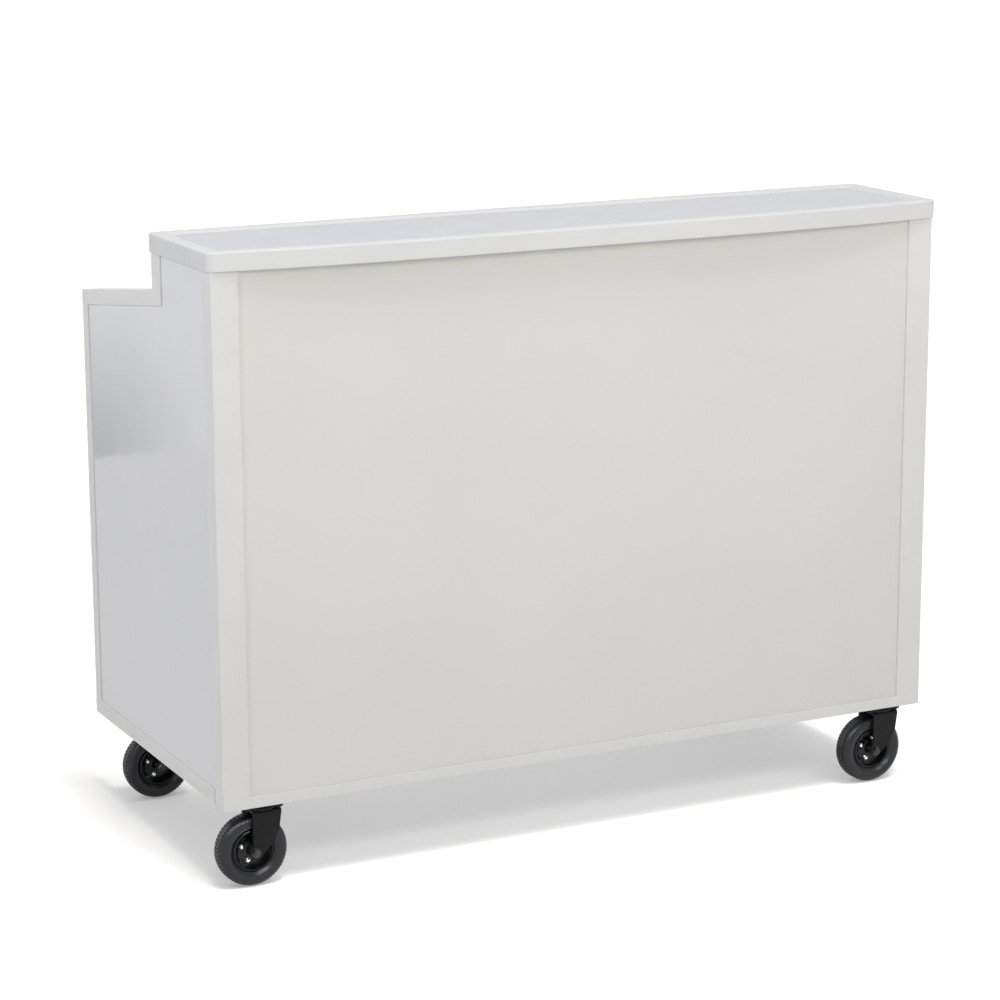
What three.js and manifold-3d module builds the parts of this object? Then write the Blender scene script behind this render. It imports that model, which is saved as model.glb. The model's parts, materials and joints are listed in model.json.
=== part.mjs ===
// Folding portable bar on four swivel casters.
// Millimetres, +Z up. +X runs along the bar to the customer's right, +Y to the bartender's side.
// The origin is on the floor, below the middle of the whole bar.

import * as THREE from 'three';
import { mergeVertices } from 'three/addons/utils/BufferGeometryUtils.js';
import Module from 'manifold-3d';

const wasm = await Module();
wasm.setup();

// Driving dimensions.
const BODY_W = 1508;          // front frame, outside to outside
const BODY_D = 698;           // front face to the rear end of the sides
const FLOOR_GAP = 157;        // floor to the underside of the front frame
const TOP_UNDER = 1146;       // floor to the underside of the bar top
const TOP_T = 35;             // bar top thickness
const TOP_SIDE_OVER = 8;      // bar top overhang past each side
const TOP_FRONT_OVER = 30;    // bar top overhang past the front face, at the middle
const TOP_BOW = 28;           // how far the bar top's front edge bends back to its ends
const TOP_BOW_STEPS = 24;
const TOP_CORNER_R = 16;
const RIM_W = 30;             // raised rim round the bar top's upper face
const RIM_H = 4;
const RIM_SLOPE = 6;          // how far the rim's inner side slopes in
const RIM_REBATE = 2;         // how deep the rim is let into the slab
const RISER_D = 299;          // front face to the rear of the riser, below the bar top
const STEP_Z_FRONT = 1074.5;   // step rail top at the riser
const STEP_Z_REAR = 1019;   // step rail top at the rear end
const GAP = 0.3;              // clearance between neighbouring pieces
const WALL = 2;               // tube wall

const POST_W = 53;
const POST_D = 42;
const RAIL_H = 22;
const RAIL_D = 34;
const PANEL_INSET = 5;
const PANEL_T = 5;
const UPRIGHT_X = 300;
const UPRIGHT_W = 30;
const BRACKET_X = 360;
const BRACKET_T = 6;

const SIDE_T = 32;            // side frame thickness
const SIDE_LIFT = 3;          // the sides hang this much higher than the front frame
const RISER_W = 46;           // riser stile
const STILE_W = 30;           // rear stile
const SIDE_RAIL_H = 30;
const STEP_RAIL_H = 31;
const FRONT_STILE_W = 30;
const SIDE_PANEL_T = 4;
const SIDE_PANEL_INSET = 2;

const KNUCKLE_R = 4.2;
const PIN_R = 2;
const LEAF_T = 1.8;
const SIDE_HINGE_KNUCKLES = 11;
const SHELF_HINGE_KNUCKLES = 9;

const SHELF_T = 14;
const SHELF_HALF_W = 697;
const SHELF_HINGE_HALF_W = 395;
const WORK_SHELF_Z = 787;     // height of the work shelf's hinge
const WORK_SHELF_D = 306;
const STORE_SHELF_Z = 327;    // height of the storage shelf's hinge
const STORE_SHELF_D = 416;
const TAB_REACH = 40;
const TAB_FROM = 196;
const TAB_TO = 346;
const TAB_T = 4;

const WHEEL_R = 68;
const TYRE_W = 42;
const RIM_R = 36;
const TRAIL = 16;             // kingpin ahead of the axle
const AXLE_R = 5;
const FORK_GAP = 49;
const FORK_T = 4.5;
const LEG_LEAD = 5;           // fork leg's edges at the crown, before and behind the axle
const LEG_TAIL = 52;
const LEG_END_R = 12;
const CROWN_UNDER = 142;
const CROWN_T = 5.6;
const PLATE_UNDER = 152;
const RACE_R = 32;
const FRONT_KING = [673, 36]; // kingpin, from the middle and from the front face
const REAR_KING = [652, 594];
const TURN_STEPS = 28;

// Places worked out from the driving dimensions.
const FRONT = TOP_FRONT_OVER - (BODY_D + TOP_FRONT_OVER) / 2;  // y of the front face
const HALF_W = BODY_W / 2;
const POST_IN = HALF_W - POST_W;
const SIDE_IN = HALF_W - SIDE_T;
const SIDE_FROM = POST_D + 2;
const SIDE_Z = FLOOR_GAP + SIDE_LIFT;
const HINGE_X = SIDE_IN - GAP - KNUCKLE_R;
const HINGE_Y = POST_D + GAP + KNUCKLE_R;
const SHELF_BACK = RAIL_D + 0.6;
const SHELF_AXIS_Y = SHELF_BACK + SHELF_T - 2.1;

const WHITE = { color: 0xdeddda, roughness: 0.42, metalness: 0 };
const GLOSS = { color: 0xd3d4d8, roughness: 0.12, metalness: 0 };
const BOARD = { color: 0xe4e3df, roughness: 0.35, metalness: 0 };
const BLACK = { color: 0x232524, roughness: 0.45, metalness: 0.1 };
const RUBBER = { color: 0x26272b, roughness: 0.7, metalness: 0 };
const ZINC = { color: 0xb9bcc0, roughness: 0.3, metalness: 0.9 };

const bar = new THREE.Group();

/** Turns a closed three.js geometry into a solid for joining and cutting. */
function solid(geometry) {
  const bare = geometry.clone();
  bare.deleteAttribute('normal');
  bare.deleteAttribute('uv');
  const merged = mergeVertices(bare, 1e-4);
  const mesh = new wasm.Mesh({
    numProp: 3,
    vertProperties: new Float32Array(merged.attributes.position.array),
    triVerts: new Uint32Array(merged.index.array),
  });
  return new wasm.Manifold(mesh);
}

/** Turns a solid back into a three.js geometry. */
function geometryOf(body) {
  const mesh = body.getMesh();
  const geometry = new THREE.BufferGeometry();
  geometry.setAttribute('position', new THREE.BufferAttribute(mesh.vertProperties, 3));
  geometry.setIndex(new THREE.BufferAttribute(mesh.triVerts, 1));
  geometry.computeVertexNormals();
  return geometry;
}

/** A box between two corners; y is counted from the front face. */
function block([x0, y0, z0], [x1, y1, z1]) {
  const geometry = new THREE.BoxGeometry(x1 - x0, y1 - y0, z1 - z0);
  return solid(geometry.translate((x0 + x1) / 2, FRONT + (y0 + y1) / 2, (z0 + z1) / 2));
}

/** A box tube open at both ends of one axis. */
function boxTube(low, high, axis) {
  const inner = [0, 1, 2].map((i) => (i === axis ? -1 : WALL));
  const from = low.map((value, i) => value + inner[i]);
  const to = high.map((value, i) => value - inner[i]);
  return block(low, high).subtract(block(from, to));
}

/** A flat outline of [y, z] points given a thickness from x0 to x1; y from the front face. */
function sideways(points, x0, x1) {
  const shape = new THREE.Shape(points.map(([y, z]) => new THREE.Vector2(FRONT + y, z)));
  return solid(extrudeAlongX(shape, x0, x1));
}

/** Extrudes a shape drawn in (y, z) along +X. */
function extrudeAlongX(shape, x0, x1) {
  const geometry = new THREE.ExtrudeGeometry(shape, { depth: x1 - x0, bevelEnabled: false });
  const turn = new THREE.Matrix4().makeBasis(
    new THREE.Vector3(0, 1, 0),
    new THREE.Vector3(0, 0, 1),
    new THREE.Vector3(1, 0, 0),
  );
  return geometry.applyMatrix4(turn).translate(x0, 0, 0);
}

/** A round bar from one point along an axis; y from the front face. */
function rod(radius, length, [x, y, z], axis, steps = 10) {
  const geometry = new THREE.CylinderGeometry(radius, radius, length, steps);
  if (axis === 0) geometry.rotateZ(-Math.PI / 2);
  if (axis === 2) geometry.rotateX(Math.PI / 2);
  const half = [0, 1, 2].map((i) => (i === axis ? length / 2 : 0));
  return solid(geometry.translate(x + half[0], FRONT + y + half[1], z + half[2]));
}

/** Joins a list of solids into one. */
function join(parts) {
  return parts.reduce((all, part) => all.add(part));
}

/** Adds a named piece to the bar. */
function piece(name, body, look) {
  const mesh = new THREE.Mesh(geometryOf(body), new THREE.MeshStandardMaterial(look));
  mesh.name = name;
  bar.add(mesh);
}

/** Mirrors a solid drawn on the right-hand side when the left-hand one is wanted. */
function onSide(body, hand) {
  return hand > 0 ? body : body.mirror([1, 0, 0]);
}

/** Height of the step rail's top at a distance behind the front face. */
function stepTop(y) {
  return STEP_Z_FRONT - (y - RISER_D) * (STEP_Z_FRONT - STEP_Z_REAR) / (BODY_D - RISER_D);
}

/** Lengths of a hinge's knuckles: [start, end, belongs to the fixed leaf]. */
function knuckles(from, to, count) {
  const pitch = (to - from) / count;
  return Array.from({ length: count }, (_, i) => (
    [from + i * pitch + 0.4, from + (i + 1) * pitch - 0.4, i % 2 === 0]
  ));
}

/** The front frame: posts, rails, uprights, inset panel and the gussets below the bar top. */
function frontFrame() {
  const railFrom = POST_IN - GAP;
  const behind = PANEL_INSET + PANEL_T + GAP;
  const topRailZ = TOP_UNDER - GAP - SIDE_RAIL_H;
  const railTop = FLOOR_GAP + RAIL_H;
  for (const [name, hand] of [['left', -1], ['right', 1]]) {
    const post = boxTube([POST_IN, 0, FLOOR_GAP], [HALF_W, POST_D, TOP_UNDER - GAP], 2);
    piece(`${name}_post`, onSide(post, hand), WHITE);
    const low = [UPRIGHT_X - UPRIGHT_W / 2, behind, railTop + GAP];
    const high = [UPRIGHT_X + UPRIGHT_W / 2, RAIL_D, topRailZ - GAP];
    piece(`${name}_upright`, onSide(boxTube(low, high, 2), hand), WHITE);
    const back = RAIL_D + GAP;
    const underTop = TOP_UNDER - GAP;
    const outline = [[back, underTop], [back, topRailZ - 8], [back + 20, topRailZ - 8],
      [RISER_D - 9, underTop - 8], [RISER_D - 9, underTop]];
    const bracket = sideways(outline, BRACKET_X, BRACKET_X + BRACKET_T);
    piece(`${name}_top_bracket`, onSide(bracket, hand), WHITE);
  }
  piece('bottom_rail', boxTube([-railFrom, 0, FLOOR_GAP], [railFrom, RAIL_D, railTop], 0), WHITE);
  piece('top_rail', boxTube([-railFrom, behind, topRailZ], [railFrom, RAIL_D, TOP_UNDER - GAP], 0), WHITE);
  const panelLow = [-railFrom, PANEL_INSET, railTop + GAP];
  const panelHigh = [railFrom, PANEL_INSET + PANEL_T, TOP_UNDER - GAP];
  piece('front_panel', block(panelLow, panelHigh), WHITE);
}

/** A rectangle with rounded corners, drawn in (x, y). */
function roundedRect(halfX, y0, y1, radius) {
  const shape = new THREE.Shape();
  shape.moveTo(-halfX + radius, y0);
  shape.lineTo(halfX - radius, y0);
  shape.absarc(halfX - radius, y0 + radius, radius, -Math.PI / 2, 0);
  shape.lineTo(halfX, y1 - radius);
  shape.absarc(halfX - radius, y1 - radius, radius, 0, Math.PI / 2);
  shape.lineTo(-halfX + radius, y1);
  shape.absarc(-halfX + radius, y1 - radius, radius, Math.PI / 2, Math.PI);
  shape.lineTo(-halfX, y0 + radius);
  shape.absarc(-halfX + radius, y0 + radius, radius, Math.PI, 1.5 * Math.PI);
  return shape;
}

/** A flat outline given a height from z0 to z1. */
function upright(shape, z0, z1) {
  const options = { depth: z1 - z0, bevelEnabled: false, curveSegments: 5 };
  return solid(new THREE.ExtrudeGeometry(shape, options).translate(0, 0, z0));
}

/** A rounded rectangle with its front edge bowed out in the middle and bent back towards the ends. */
function bowedRect(halfX, y0, y1, radius) {
  const points = roundedRect(halfX, y0, y1, radius).getPoints(5).slice(1, -1);
  const across = halfX - radius;
  for (let i = 0; i <= TOP_BOW_STEPS; i++) {
    points.push(new THREE.Vector2(across * (2 * i / TOP_BOW_STEPS - 1), y0));
  }
  const back = (x) => TOP_BOW * (x / (HALF_W + TOP_SIDE_OVER)) ** 4;
  return new THREE.Shape(points.map(({ x, y }) => {
    return new THREE.Vector2(x, y + back(x) * (y1 - y) / (y1 - y0));
  }));
}

/** The bar top: a thick slab, and the raised rim that is let into it round its upper face. */
function barTop() {
  const halfX = HALF_W + TOP_SIDE_OVER;
  const from = FRONT - TOP_FRONT_OVER;
  const to = FRONT + RISER_D - 2;
  const inset = (by, radius) => bowedRect(halfX - by, from + by, to - by, radius);
  const top = TOP_UNDER + TOP_T;
  const surface = top - RIM_H;
  const ledge = surface - RIM_REBATE;
  const footprint = RIM_W + RIM_SLOPE;

  const slab = upright(inset(0, TOP_CORNER_R), TOP_UNDER, ledge);
  const serving = upright(inset(footprint + GAP, TOP_CORNER_R - 2), ledge - 1, surface);
  piece('bar_top', slab.add(serving), BOARD);

  const ring = upright(inset(0, TOP_CORNER_R), ledge + GAP, top);
  const opening = upright(inset(footprint, TOP_CORNER_R - 2), ledge - 1, surface + 1);
  const slope = { depth: TOP_T, bevelEnabled: true, bevelSize: RIM_SLOPE, bevelThickness: RIM_H,
    bevelOffset: -RIM_SLOPE, bevelSegments: 1, curveSegments: 5 };
  const well = new THREE.ExtrudeGeometry(inset(RIM_W, TOP_CORNER_R + 4), slope).translate(0, 0, top);
  piece('bar_top_rim', ring.subtract(opening).subtract(solid(well)), BOARD);
}

/** One stepped side: frame tubes, gloss panel, cross rails with shelf tabs, hinge, caster plate. */
function side(name, hand) {
  const put = (label, body, look) => piece(`${name}_side_${label}`, onSide(body, hand), look);
  const rear = BODY_D - STILE_W;
  const riser = RISER_D - RISER_W;
  const railTop = SIDE_Z + SIDE_RAIL_H;
  const innerFace = HALF_W - SIDE_PANEL_INSET - SIDE_PANEL_T - GAP;
  const top = TOP_UNDER - GAP;

  put('bottom_rail', boxTube([SIDE_IN, SIDE_FROM, SIDE_Z], [HALF_W, BODY_D, railTop], 1), WHITE);
  const stileEnd = [SIDE_FROM + FRONT_STILE_W, top];
  put('front_stile', boxTube([SIDE_IN, SIDE_FROM, railTop + GAP], [innerFace, ...stileEnd], 2), WHITE);

  const below = (y) => stepTop(y) - STEP_RAIL_H - GAP;
  const rearOutline = [[rear, railTop + GAP], [BODY_D, railTop + GAP], [BODY_D, below(BODY_D)],
    [rear, below(rear)]];
  const rearBore = [[rear + WALL, railTop - 5], [BODY_D - WALL, railTop - 5],
    [BODY_D - WALL, below(BODY_D) - WALL], [rear + WALL, below(rear + WALL) - WALL]];
  const rearStile = sideways(rearOutline, SIDE_IN, HALF_W);
  put('rear_stile', rearStile.subtract(sideways(rearBore, SIDE_IN + WALL, HALF_W - WALL)), WHITE);

  const drop = STEP_RAIL_H;
  const stepOutline = [[riser, stepTop(riser)], [riser, stepTop(riser) - drop],
    [BODY_D, stepTop(BODY_D) - drop], [BODY_D, stepTop(BODY_D)]];
  const stepBore = [[riser - 5, stepTop(riser - 5) - WALL], [riser - 5, stepTop(riser - 5) - drop + WALL],
    [BODY_D - WALL, stepTop(BODY_D) - drop + WALL], [BODY_D - WALL, stepTop(BODY_D) - WALL]];
  const stepRail = sideways(stepOutline, SIDE_IN, HALF_W);
  put('step_rail', stepRail.subtract(sideways(stepBore, SIDE_IN + WALL, HALF_W - WALL)), WHITE);

  const riserOutline = [[riser, stepTop(riser) + GAP], [RISER_D, stepTop(RISER_D) + GAP], [RISER_D, top],
    [riser, top]];
  const riserBore = [[riser + WALL, stepTop(riser) + WALL], [RISER_D - WALL, stepTop(riser) + WALL],
    [RISER_D - WALL, top + 5], [riser + WALL, top + 5]];
  const riserStile = sideways(riserOutline, SIDE_IN, HALF_W);
  put('riser_stile', riserStile.subtract(sideways(riserBore, SIDE_IN + WALL, HALF_W - WALL)), WHITE);

  const panelBack = HALF_W - SIDE_PANEL_INSET - SIDE_PANEL_T;
  const panelOutline = [[SIDE_FROM, railTop + GAP], [rear - GAP, railTop + GAP], [rear - GAP, below(rear)],
    [riser - GAP, below(riser)], [riser - GAP, top], [SIDE_FROM, top]];
  put('panel', sideways(panelOutline, panelBack, panelBack + SIDE_PANEL_T), GLOSS);

  const crossFrom = SIDE_FROM + FRONT_STILE_W + GAP;
  for (const [label, hingeZ] of [['work_rail', WORK_SHELF_Z], ['store_rail', STORE_SHELF_Z]]) {
    const tabTop = hingeZ - 2.1 - GAP;
    const rail = boxTube([SIDE_IN, crossFrom, tabTop - SIDE_RAIL_H], [innerFace, rear - GAP, tabTop], 1);
    const tab = block([SIDE_IN - TAB_REACH, TAB_FROM, tabTop - TAB_T], [SIDE_IN + 1, TAB_TO, tabTop]);
    put(label, rail.add(tab), WHITE);
  }

  const plateEdge = HALF_W - 20;
  const plate = block([SIDE_IN - 122, REAR_KING[1] - 45, PLATE_UNDER], [plateEdge, REAR_KING[1] + 45,
    FLOOR_GAP - 2 * GAP]);
  const pad = block([SIDE_IN + 1, REAR_KING[1] - 40, FLOOR_GAP - 1], [plateEdge, REAR_KING[1] + 40,
    SIDE_Z - GAP]);
  put('caster_plate', join([plate, pad, raceway(...REAR_KING)]), BLACK);
}

/** The long hinge between a post and the side behind it. */
function sideHinge(name, hand) {
  const from = FLOOR_GAP + 40;
  const to = TOP_UNDER - 40;
  const postLeaf = [block([POST_IN + 1, POST_D + GAP, from],
    [HINGE_X - KNUCKLE_R - 0.4, POST_D + GAP + LEAF_T, to])];
  const sideLeaf = [block([SIDE_IN - GAP - LEAF_T, HINGE_Y + KNUCKLE_R + 0.4, from],
    [SIDE_IN - GAP, HINGE_Y + KNUCKLE_R + 18, to])];
  for (const [start, end, fixed] of knuckles(from, to, SIDE_HINGE_KNUCKLES)) {
    const barrel = rod(KNUCKLE_R, end - start, [HINGE_X, HINGE_Y, start], 2);
    if (fixed) {
      const low = [HINGE_X - KNUCKLE_R - 1, POST_D + GAP, start];
      postLeaf.push(barrel, block(low, [HINGE_X, POST_D + GAP + LEAF_T, end]));
    } else {
      const low = [SIDE_IN - GAP - LEAF_T, HINGE_Y, start];
      sideLeaf.push(barrel, block(low, [SIDE_IN - GAP, HINGE_Y + KNUCKLE_R + 1, end]));
    }
  }
  const bore = rod(PIN_R + GAP, to - from + 10, [HINGE_X, HINGE_Y, from - 5], 2);
  piece(`${name}_hinge_post_leaf`, onSide(join(postLeaf).subtract(bore), hand), ZINC);
  piece(`${name}_hinge_side_leaf`, onSide(join(sideLeaf).subtract(bore), hand), ZINC);
  piece(`${name}_hinge_pin`, onSide(rod(PIN_R, to - from, [HINGE_X, HINGE_Y, from], 2), hand), ZINC);
}

/** A shelf stowed upright behind the front panel, with the hinge it drops down on. */
function shelf(name, hingeZ, depth) {
  const half = SHELF_HINGE_HALF_W;
  const axis = [SHELF_AXIS_Y, hingeZ];
  const foot = hingeZ + KNUCKLE_R + GAP;
  const board = block([-SHELF_HALF_W, SHELF_BACK, foot],
    [SHELF_HALF_W, SHELF_BACK + SHELF_T, foot + depth]);
  const railBack = RAIL_D + GAP;
  const leafFace = SHELF_BACK + SHELF_T + GAP;
  const rail = [block([-half, railBack, hingeZ - 36], [half, railBack + 2.5, hingeZ - 7])];
  const leaf = [block([-half, leafFace, foot + 0.5], [half, leafFace + 1.5, foot + 30])];
  for (const [start, end, fixed] of knuckles(-half, half, SHELF_HINGE_KNUCKLES)) {
    const barrel = rod(KNUCKLE_R, end - start, [start, ...axis], 0);
    if (fixed) {
      const web = [[railBack, hingeZ - 11], [railBack + 3, hingeZ - 11],
        [axis[0], hingeZ - KNUCKLE_R + 0.4], [axis[0] - KNUCKLE_R + 0.6, hingeZ - 0.6],
        [railBack, hingeZ - 6]];
      rail.push(barrel, sideways(web, start, end));
    } else {
      leaf.push(barrel, block([start, leafFace, hingeZ], [end, leafFace + 1.5, foot + 1]));
    }
  }
  const bore = rod(PIN_R + GAP, 2 * half + 10, [-half - 5, ...axis], 0);
  const stakedPin = rod(PIN_R, 2 * half, [-half, ...axis], 0);
  piece(`${name}_shelf`, board, BOARD);
  piece(`${name}_shelf_hinge_rail`, join([...rail, stakedPin]), ZINC);
  piece(`${name}_shelf_hinge_leaf`, join(leaf).subtract(bore), ZINC);
}

/** The swivel bearing's fixed half and the kingpin, below a caster plate. */
function raceway(x, y) {
  const raceFrom = CROWN_UNDER + CROWN_T + 0.4;
  const race = rod(RACE_R, PLATE_UNDER + 1 - raceFrom, [x, y, raceFrom], 2, 32);
  const king = rod(7, 8, [x, y, CROWN_UNDER], 2, 24);
  return race.add(king);
}

/** A ring turned about the wheel's axle from a closed outline of [radius, offset] points. */
function turned(outline, x, y) {
  const points = [...outline, outline[0]].map(([r, off]) => new THREE.Vector2(r, off));
  return solid(new THREE.LatheGeometry(points, TURN_STEPS).translate(x, FRONT + y, WHEEL_R));
}

/** One caster below its plate: fork, axle bolt, rim and tyre, trailing towards -X. */
function caster(name, kingX, kingY) {
  const x = kingX - TRAIL;
  const axle = [x, kingY, WHEEL_R];
  const outer = FORK_GAP / 2 + FORK_T;

  const leg = new THREE.Shape();
  leg.moveTo(x - LEG_LEAD, CROWN_UNDER + CROWN_T);
  leg.lineTo(x - LEG_LEAD, WHEEL_R + 16);
  leg.lineTo(x - LEG_END_R, WHEEL_R + 2);
  leg.absarc(x, WHEEL_R, LEG_END_R, Math.PI, 1.75 * Math.PI);
  leg.quadraticCurveTo(x + 37, WHEEL_R + 14, x + 47, WHEEL_R + 42);
  leg.lineTo(x + LEG_TAIL, CROWN_UNDER + CROWN_T);
  const cheek = new THREE.ExtrudeGeometry(leg, { depth: FORK_T, bevelEnabled: false, curveSegments: 6 });
  cheek.rotateX(Math.PI / 2);
  const near = solid(cheek.clone().translate(0, FRONT + kingY - FORK_GAP / 2, 0));
  const far = solid(cheek.clone().translate(0, FRONT + kingY + outer, 0));
  const crown = block([x - LEG_LEAD, kingY - outer, CROWN_UNDER],
    [x + LEG_TAIL, kingY + outer, CROWN_UNDER + CROWN_T]);
  const kingHole = rod(7 + 0.4, 20, [kingX, kingY, CROWN_UNDER - 5], 2, 24);
  const axleHole = rod(AXLE_R + 0.4, 2 * outer + 10, [x, kingY - outer - 5, WHEEL_R], 1, 20);
  piece(`${name}_fork`, join([near, far, crown]).subtract(kingHole).subtract(axleHole), BLACK);

  const bolt = rod(AXLE_R, 2 * outer + 4, [x, kingY - outer - 2, WHEEL_R], 1, 20);
  const head = rod(8.5, 5, [x, kingY - outer - 5.4, WHEEL_R], 1, 6);
  const nut = rod(8.5, 5, [x, kingY + outer + 0.4, WHEEL_R], 1, 6);
  piece(`${name}_axle`, join([bolt, head, nut]), ZINC);

  const bore = AXLE_R + 0.4;
  const hub = FORK_GAP / 2 - 1.5;
  const halfRim = [[bore, hub], [13, hub], [13, 4.5], [25, 4], [RIM_R - 4, 16.5], [RIM_R + 4, 16.5],
    [RIM_R + 4, 13.9], [RIM_R, 13.9]];
  piece(`${name}_rim`, turned(mirroredRing(halfRim), ...axle), BLACK);
  const halfTyre = [[RIM_R + GAP, 13.5], [RIM_R + 4.4, 13.5], [47.5, 20], [55.5, TYRE_W / 2], [63, 18.2],
    [WHEEL_R, 8]];
  piece(`${name}_tyre`, turned(mirroredRing(halfTyre), ...axle), RUBBER);
}

/** Closes half a ring section into a full one, mirrored across the wheel's middle plane. */
function mirroredRing(half) {
  const other = half.map(([r, off]) => [r, -off]);
  return [...half.slice().reverse(), ...other];
}

frontFrame();
barTop();
shelf('work', WORK_SHELF_Z, WORK_SHELF_D);
shelf('store', STORE_SHELF_Z, STORE_SHELF_D);
for (const [name, hand] of [['left', -1], ['right', 1]]) {
  side(name, hand);
  sideHinge(name, hand);
  const plate = block([FRONT_KING[0] - 39, FRONT_KING[1] - 33, PLATE_UNDER],
    [FRONT_KING[0] + 39, FRONT_KING[1] + 33, FLOOR_GAP - GAP]);
  piece(`front_${name}_caster_plate`, onSide(plate.add(raceway(...FRONT_KING)), hand), BLACK);
  caster(`front_${name}`, hand * FRONT_KING[0], FRONT_KING[1]);
  caster(`rear_${name}`, hand * REAR_KING[0], REAR_KING[1]);
}

export default bar;
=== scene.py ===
"""White folding portable bar on four swivel casters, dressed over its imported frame.

Lengths in the classes are millimetres and meshes are metres. +X runs along the bar, +Y points to
the bartender's side and +Z is up, as in the frame.
"""

from __future__ import annotations

import json
import logging
import math
from dataclasses import dataclass, field
from enum import Enum
from typing import Callable, Iterable, Sequence

import bmesh
import bpy
from mathutils import Matrix, Vector

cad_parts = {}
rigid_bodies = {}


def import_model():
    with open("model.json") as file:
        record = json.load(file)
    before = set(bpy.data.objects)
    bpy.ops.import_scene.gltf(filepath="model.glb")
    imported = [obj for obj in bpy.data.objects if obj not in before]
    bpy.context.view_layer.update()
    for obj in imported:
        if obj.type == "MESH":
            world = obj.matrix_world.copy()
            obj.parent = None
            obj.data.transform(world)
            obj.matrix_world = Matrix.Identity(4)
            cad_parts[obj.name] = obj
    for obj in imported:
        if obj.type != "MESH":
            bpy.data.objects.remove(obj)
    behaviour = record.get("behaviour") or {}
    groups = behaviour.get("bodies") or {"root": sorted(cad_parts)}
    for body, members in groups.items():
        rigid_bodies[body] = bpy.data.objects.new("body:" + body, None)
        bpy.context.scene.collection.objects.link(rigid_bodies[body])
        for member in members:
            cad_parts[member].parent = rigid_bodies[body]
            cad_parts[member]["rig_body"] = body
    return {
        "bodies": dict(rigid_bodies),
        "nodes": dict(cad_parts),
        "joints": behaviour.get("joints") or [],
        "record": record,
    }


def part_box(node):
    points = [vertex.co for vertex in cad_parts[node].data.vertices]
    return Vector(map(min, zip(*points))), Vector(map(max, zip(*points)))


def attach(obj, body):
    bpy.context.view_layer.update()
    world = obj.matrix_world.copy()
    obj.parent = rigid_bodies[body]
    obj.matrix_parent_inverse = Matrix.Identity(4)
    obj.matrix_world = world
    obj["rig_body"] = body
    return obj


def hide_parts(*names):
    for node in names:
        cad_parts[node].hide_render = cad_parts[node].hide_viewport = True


MM = 0.001
LOG = logging.getLogger("portable_bar")
Outline = Sequence[tuple[float, float]]


def srgb(code: str) -> tuple[float, float, float, float]:
    """Turns an sRGB hex colour into linear RGBA.

    Args:
        code: A colour such as "#dedcd7".

    Returns:
        Linear red, green, blue and an alpha of 1.
    """
    parts = [int(code[i:i + 2], 16) / 255 for i in (1, 3, 5)]
    red, green, blue = (p / 12.92 if p <= 0.04045 else ((p + 0.055) / 1.055) ** 2.4 for p in parts)
    return red, green, blue, 1.0


def node(tree: bpy.types.NodeTree, kind: str, inputs: dict | None = None, **settings) -> bpy.types.Node:
    """Adds a node, sets its properties, and fills or links its inputs.

    Args:
        tree: The shader or geometry tree.
        kind: Blender's name for the node.
        inputs: Values or output sockets by input name or number.
        **settings: Properties of the node itself.

    Returns:
        The new node.
    """
    made = tree.nodes.new(kind)
    for name, value in settings.items():
        setattr(made, name, value)
    for key, value in (inputs or {}).items():
        if isinstance(value, bpy.types.NodeSocket):
            tree.links.new(value, made.inputs[key])
        else:
            made.inputs[key].default_value = value
    return made


@dataclass(frozen=True)
class Finish:
    """One real material: its colour, its gloss, and the fine texture that its making leaves."""

    name: str
    slot: str
    colour: str
    drift: str
    roughness: float
    grain_mm: float
    grain_height_mm: float
    cloud_mm: float = 160.0
    spread: float = 0.04
    metallic: float = 0.0
    ior: float = 1.5
    specular: float = 0.5

    def make(self) -> bpy.types.Material:
        """Builds the node material: clouded colour, uneven gloss and a fine relief.

        Returns:
            The material, ready to be put on a mesh.
        """
        material = bpy.data.materials.new(self.name)
        material.use_nodes = True
        tree = material.node_tree
        tree.nodes.clear()
        place = node(tree, "ShaderNodeTexCoord").outputs["Object"]
        cloud = node(tree, "ShaderNodeTexNoise",
                     {"Vector": place, "Scale": 1 / (self.cloud_mm * MM), "Detail": 3.0})
        grain = node(tree, "ShaderNodeTexNoise",
                     {"Vector": place, "Scale": 1 / (self.grain_mm * MM), "Detail": 2.0})
        amount = node(tree, "ShaderNodeMapRange",
                      {"Value": cloud.outputs["Fac"], "From Min": 0.3, "From Max": 0.7})
        colour = node(tree, "ShaderNodeMix",
                      {0: amount.outputs["Result"], 6: srgb(self.colour), 7: srgb(self.drift)},
                      data_type="RGBA")
        gloss = node(tree, "ShaderNodeMapRange",
                     {"Value": grain.outputs["Fac"], "From Min": 0.3, "From Max": 0.7,
                      "To Min": self.roughness - self.spread, "To Max": self.roughness + self.spread})
        relief = node(tree, "ShaderNodeBump",
                      {"Height": grain.outputs["Fac"], "Strength": 1.0,
                       "Distance": self.grain_height_mm * MM})
        shader = node(tree, "ShaderNodeBsdfPrincipled",
                      {"Base Color": colour.outputs[2], "Roughness": gloss.outputs["Result"],
                       "Normal": relief.outputs["Normal"], "Metallic": self.metallic,
                       "Specular IOR Level": self.specular})
        if not self.metallic:
            shader.inputs["IOR"].default_value = self.ior
        node(tree, "ShaderNodeOutputMaterial", {"Surface": shader.outputs[0]})
        return material


# Polyester powder coat on steel tube: satin, with a soft orange peel that blurs highlights.
WHITE_STEEL = Finish("powder_coated_steel_white", "white_steel", "#e2e1de", "#dddcd9",
                     0.36, grain_mm=6, grain_height_mm=0.02)
# Decorative laminate pressed on thin board: low sheen, warm, with a faint pebble.
FRONT_SHEET = Finish("pressed_laminate_warm_white", "front_laminate", "#e0deda", "#dbdad6",
                     0.42, grain_mm=7, grain_height_mm=0.015, cloud_mm=420)
# Grey matt strip laid on the rail's ledge at the foot of the front sheet: painted shade, a dark line
# standing in for the shade in the recess there.
PAINTED_SHADE_STRIP = Finish("vinyl_seal_grey", "front_laminate", "#c6c5c2", "#c0bfbc", 0.6, grain_mm=2,
              grain_height_mm=0.02, specular=0.2)
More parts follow.
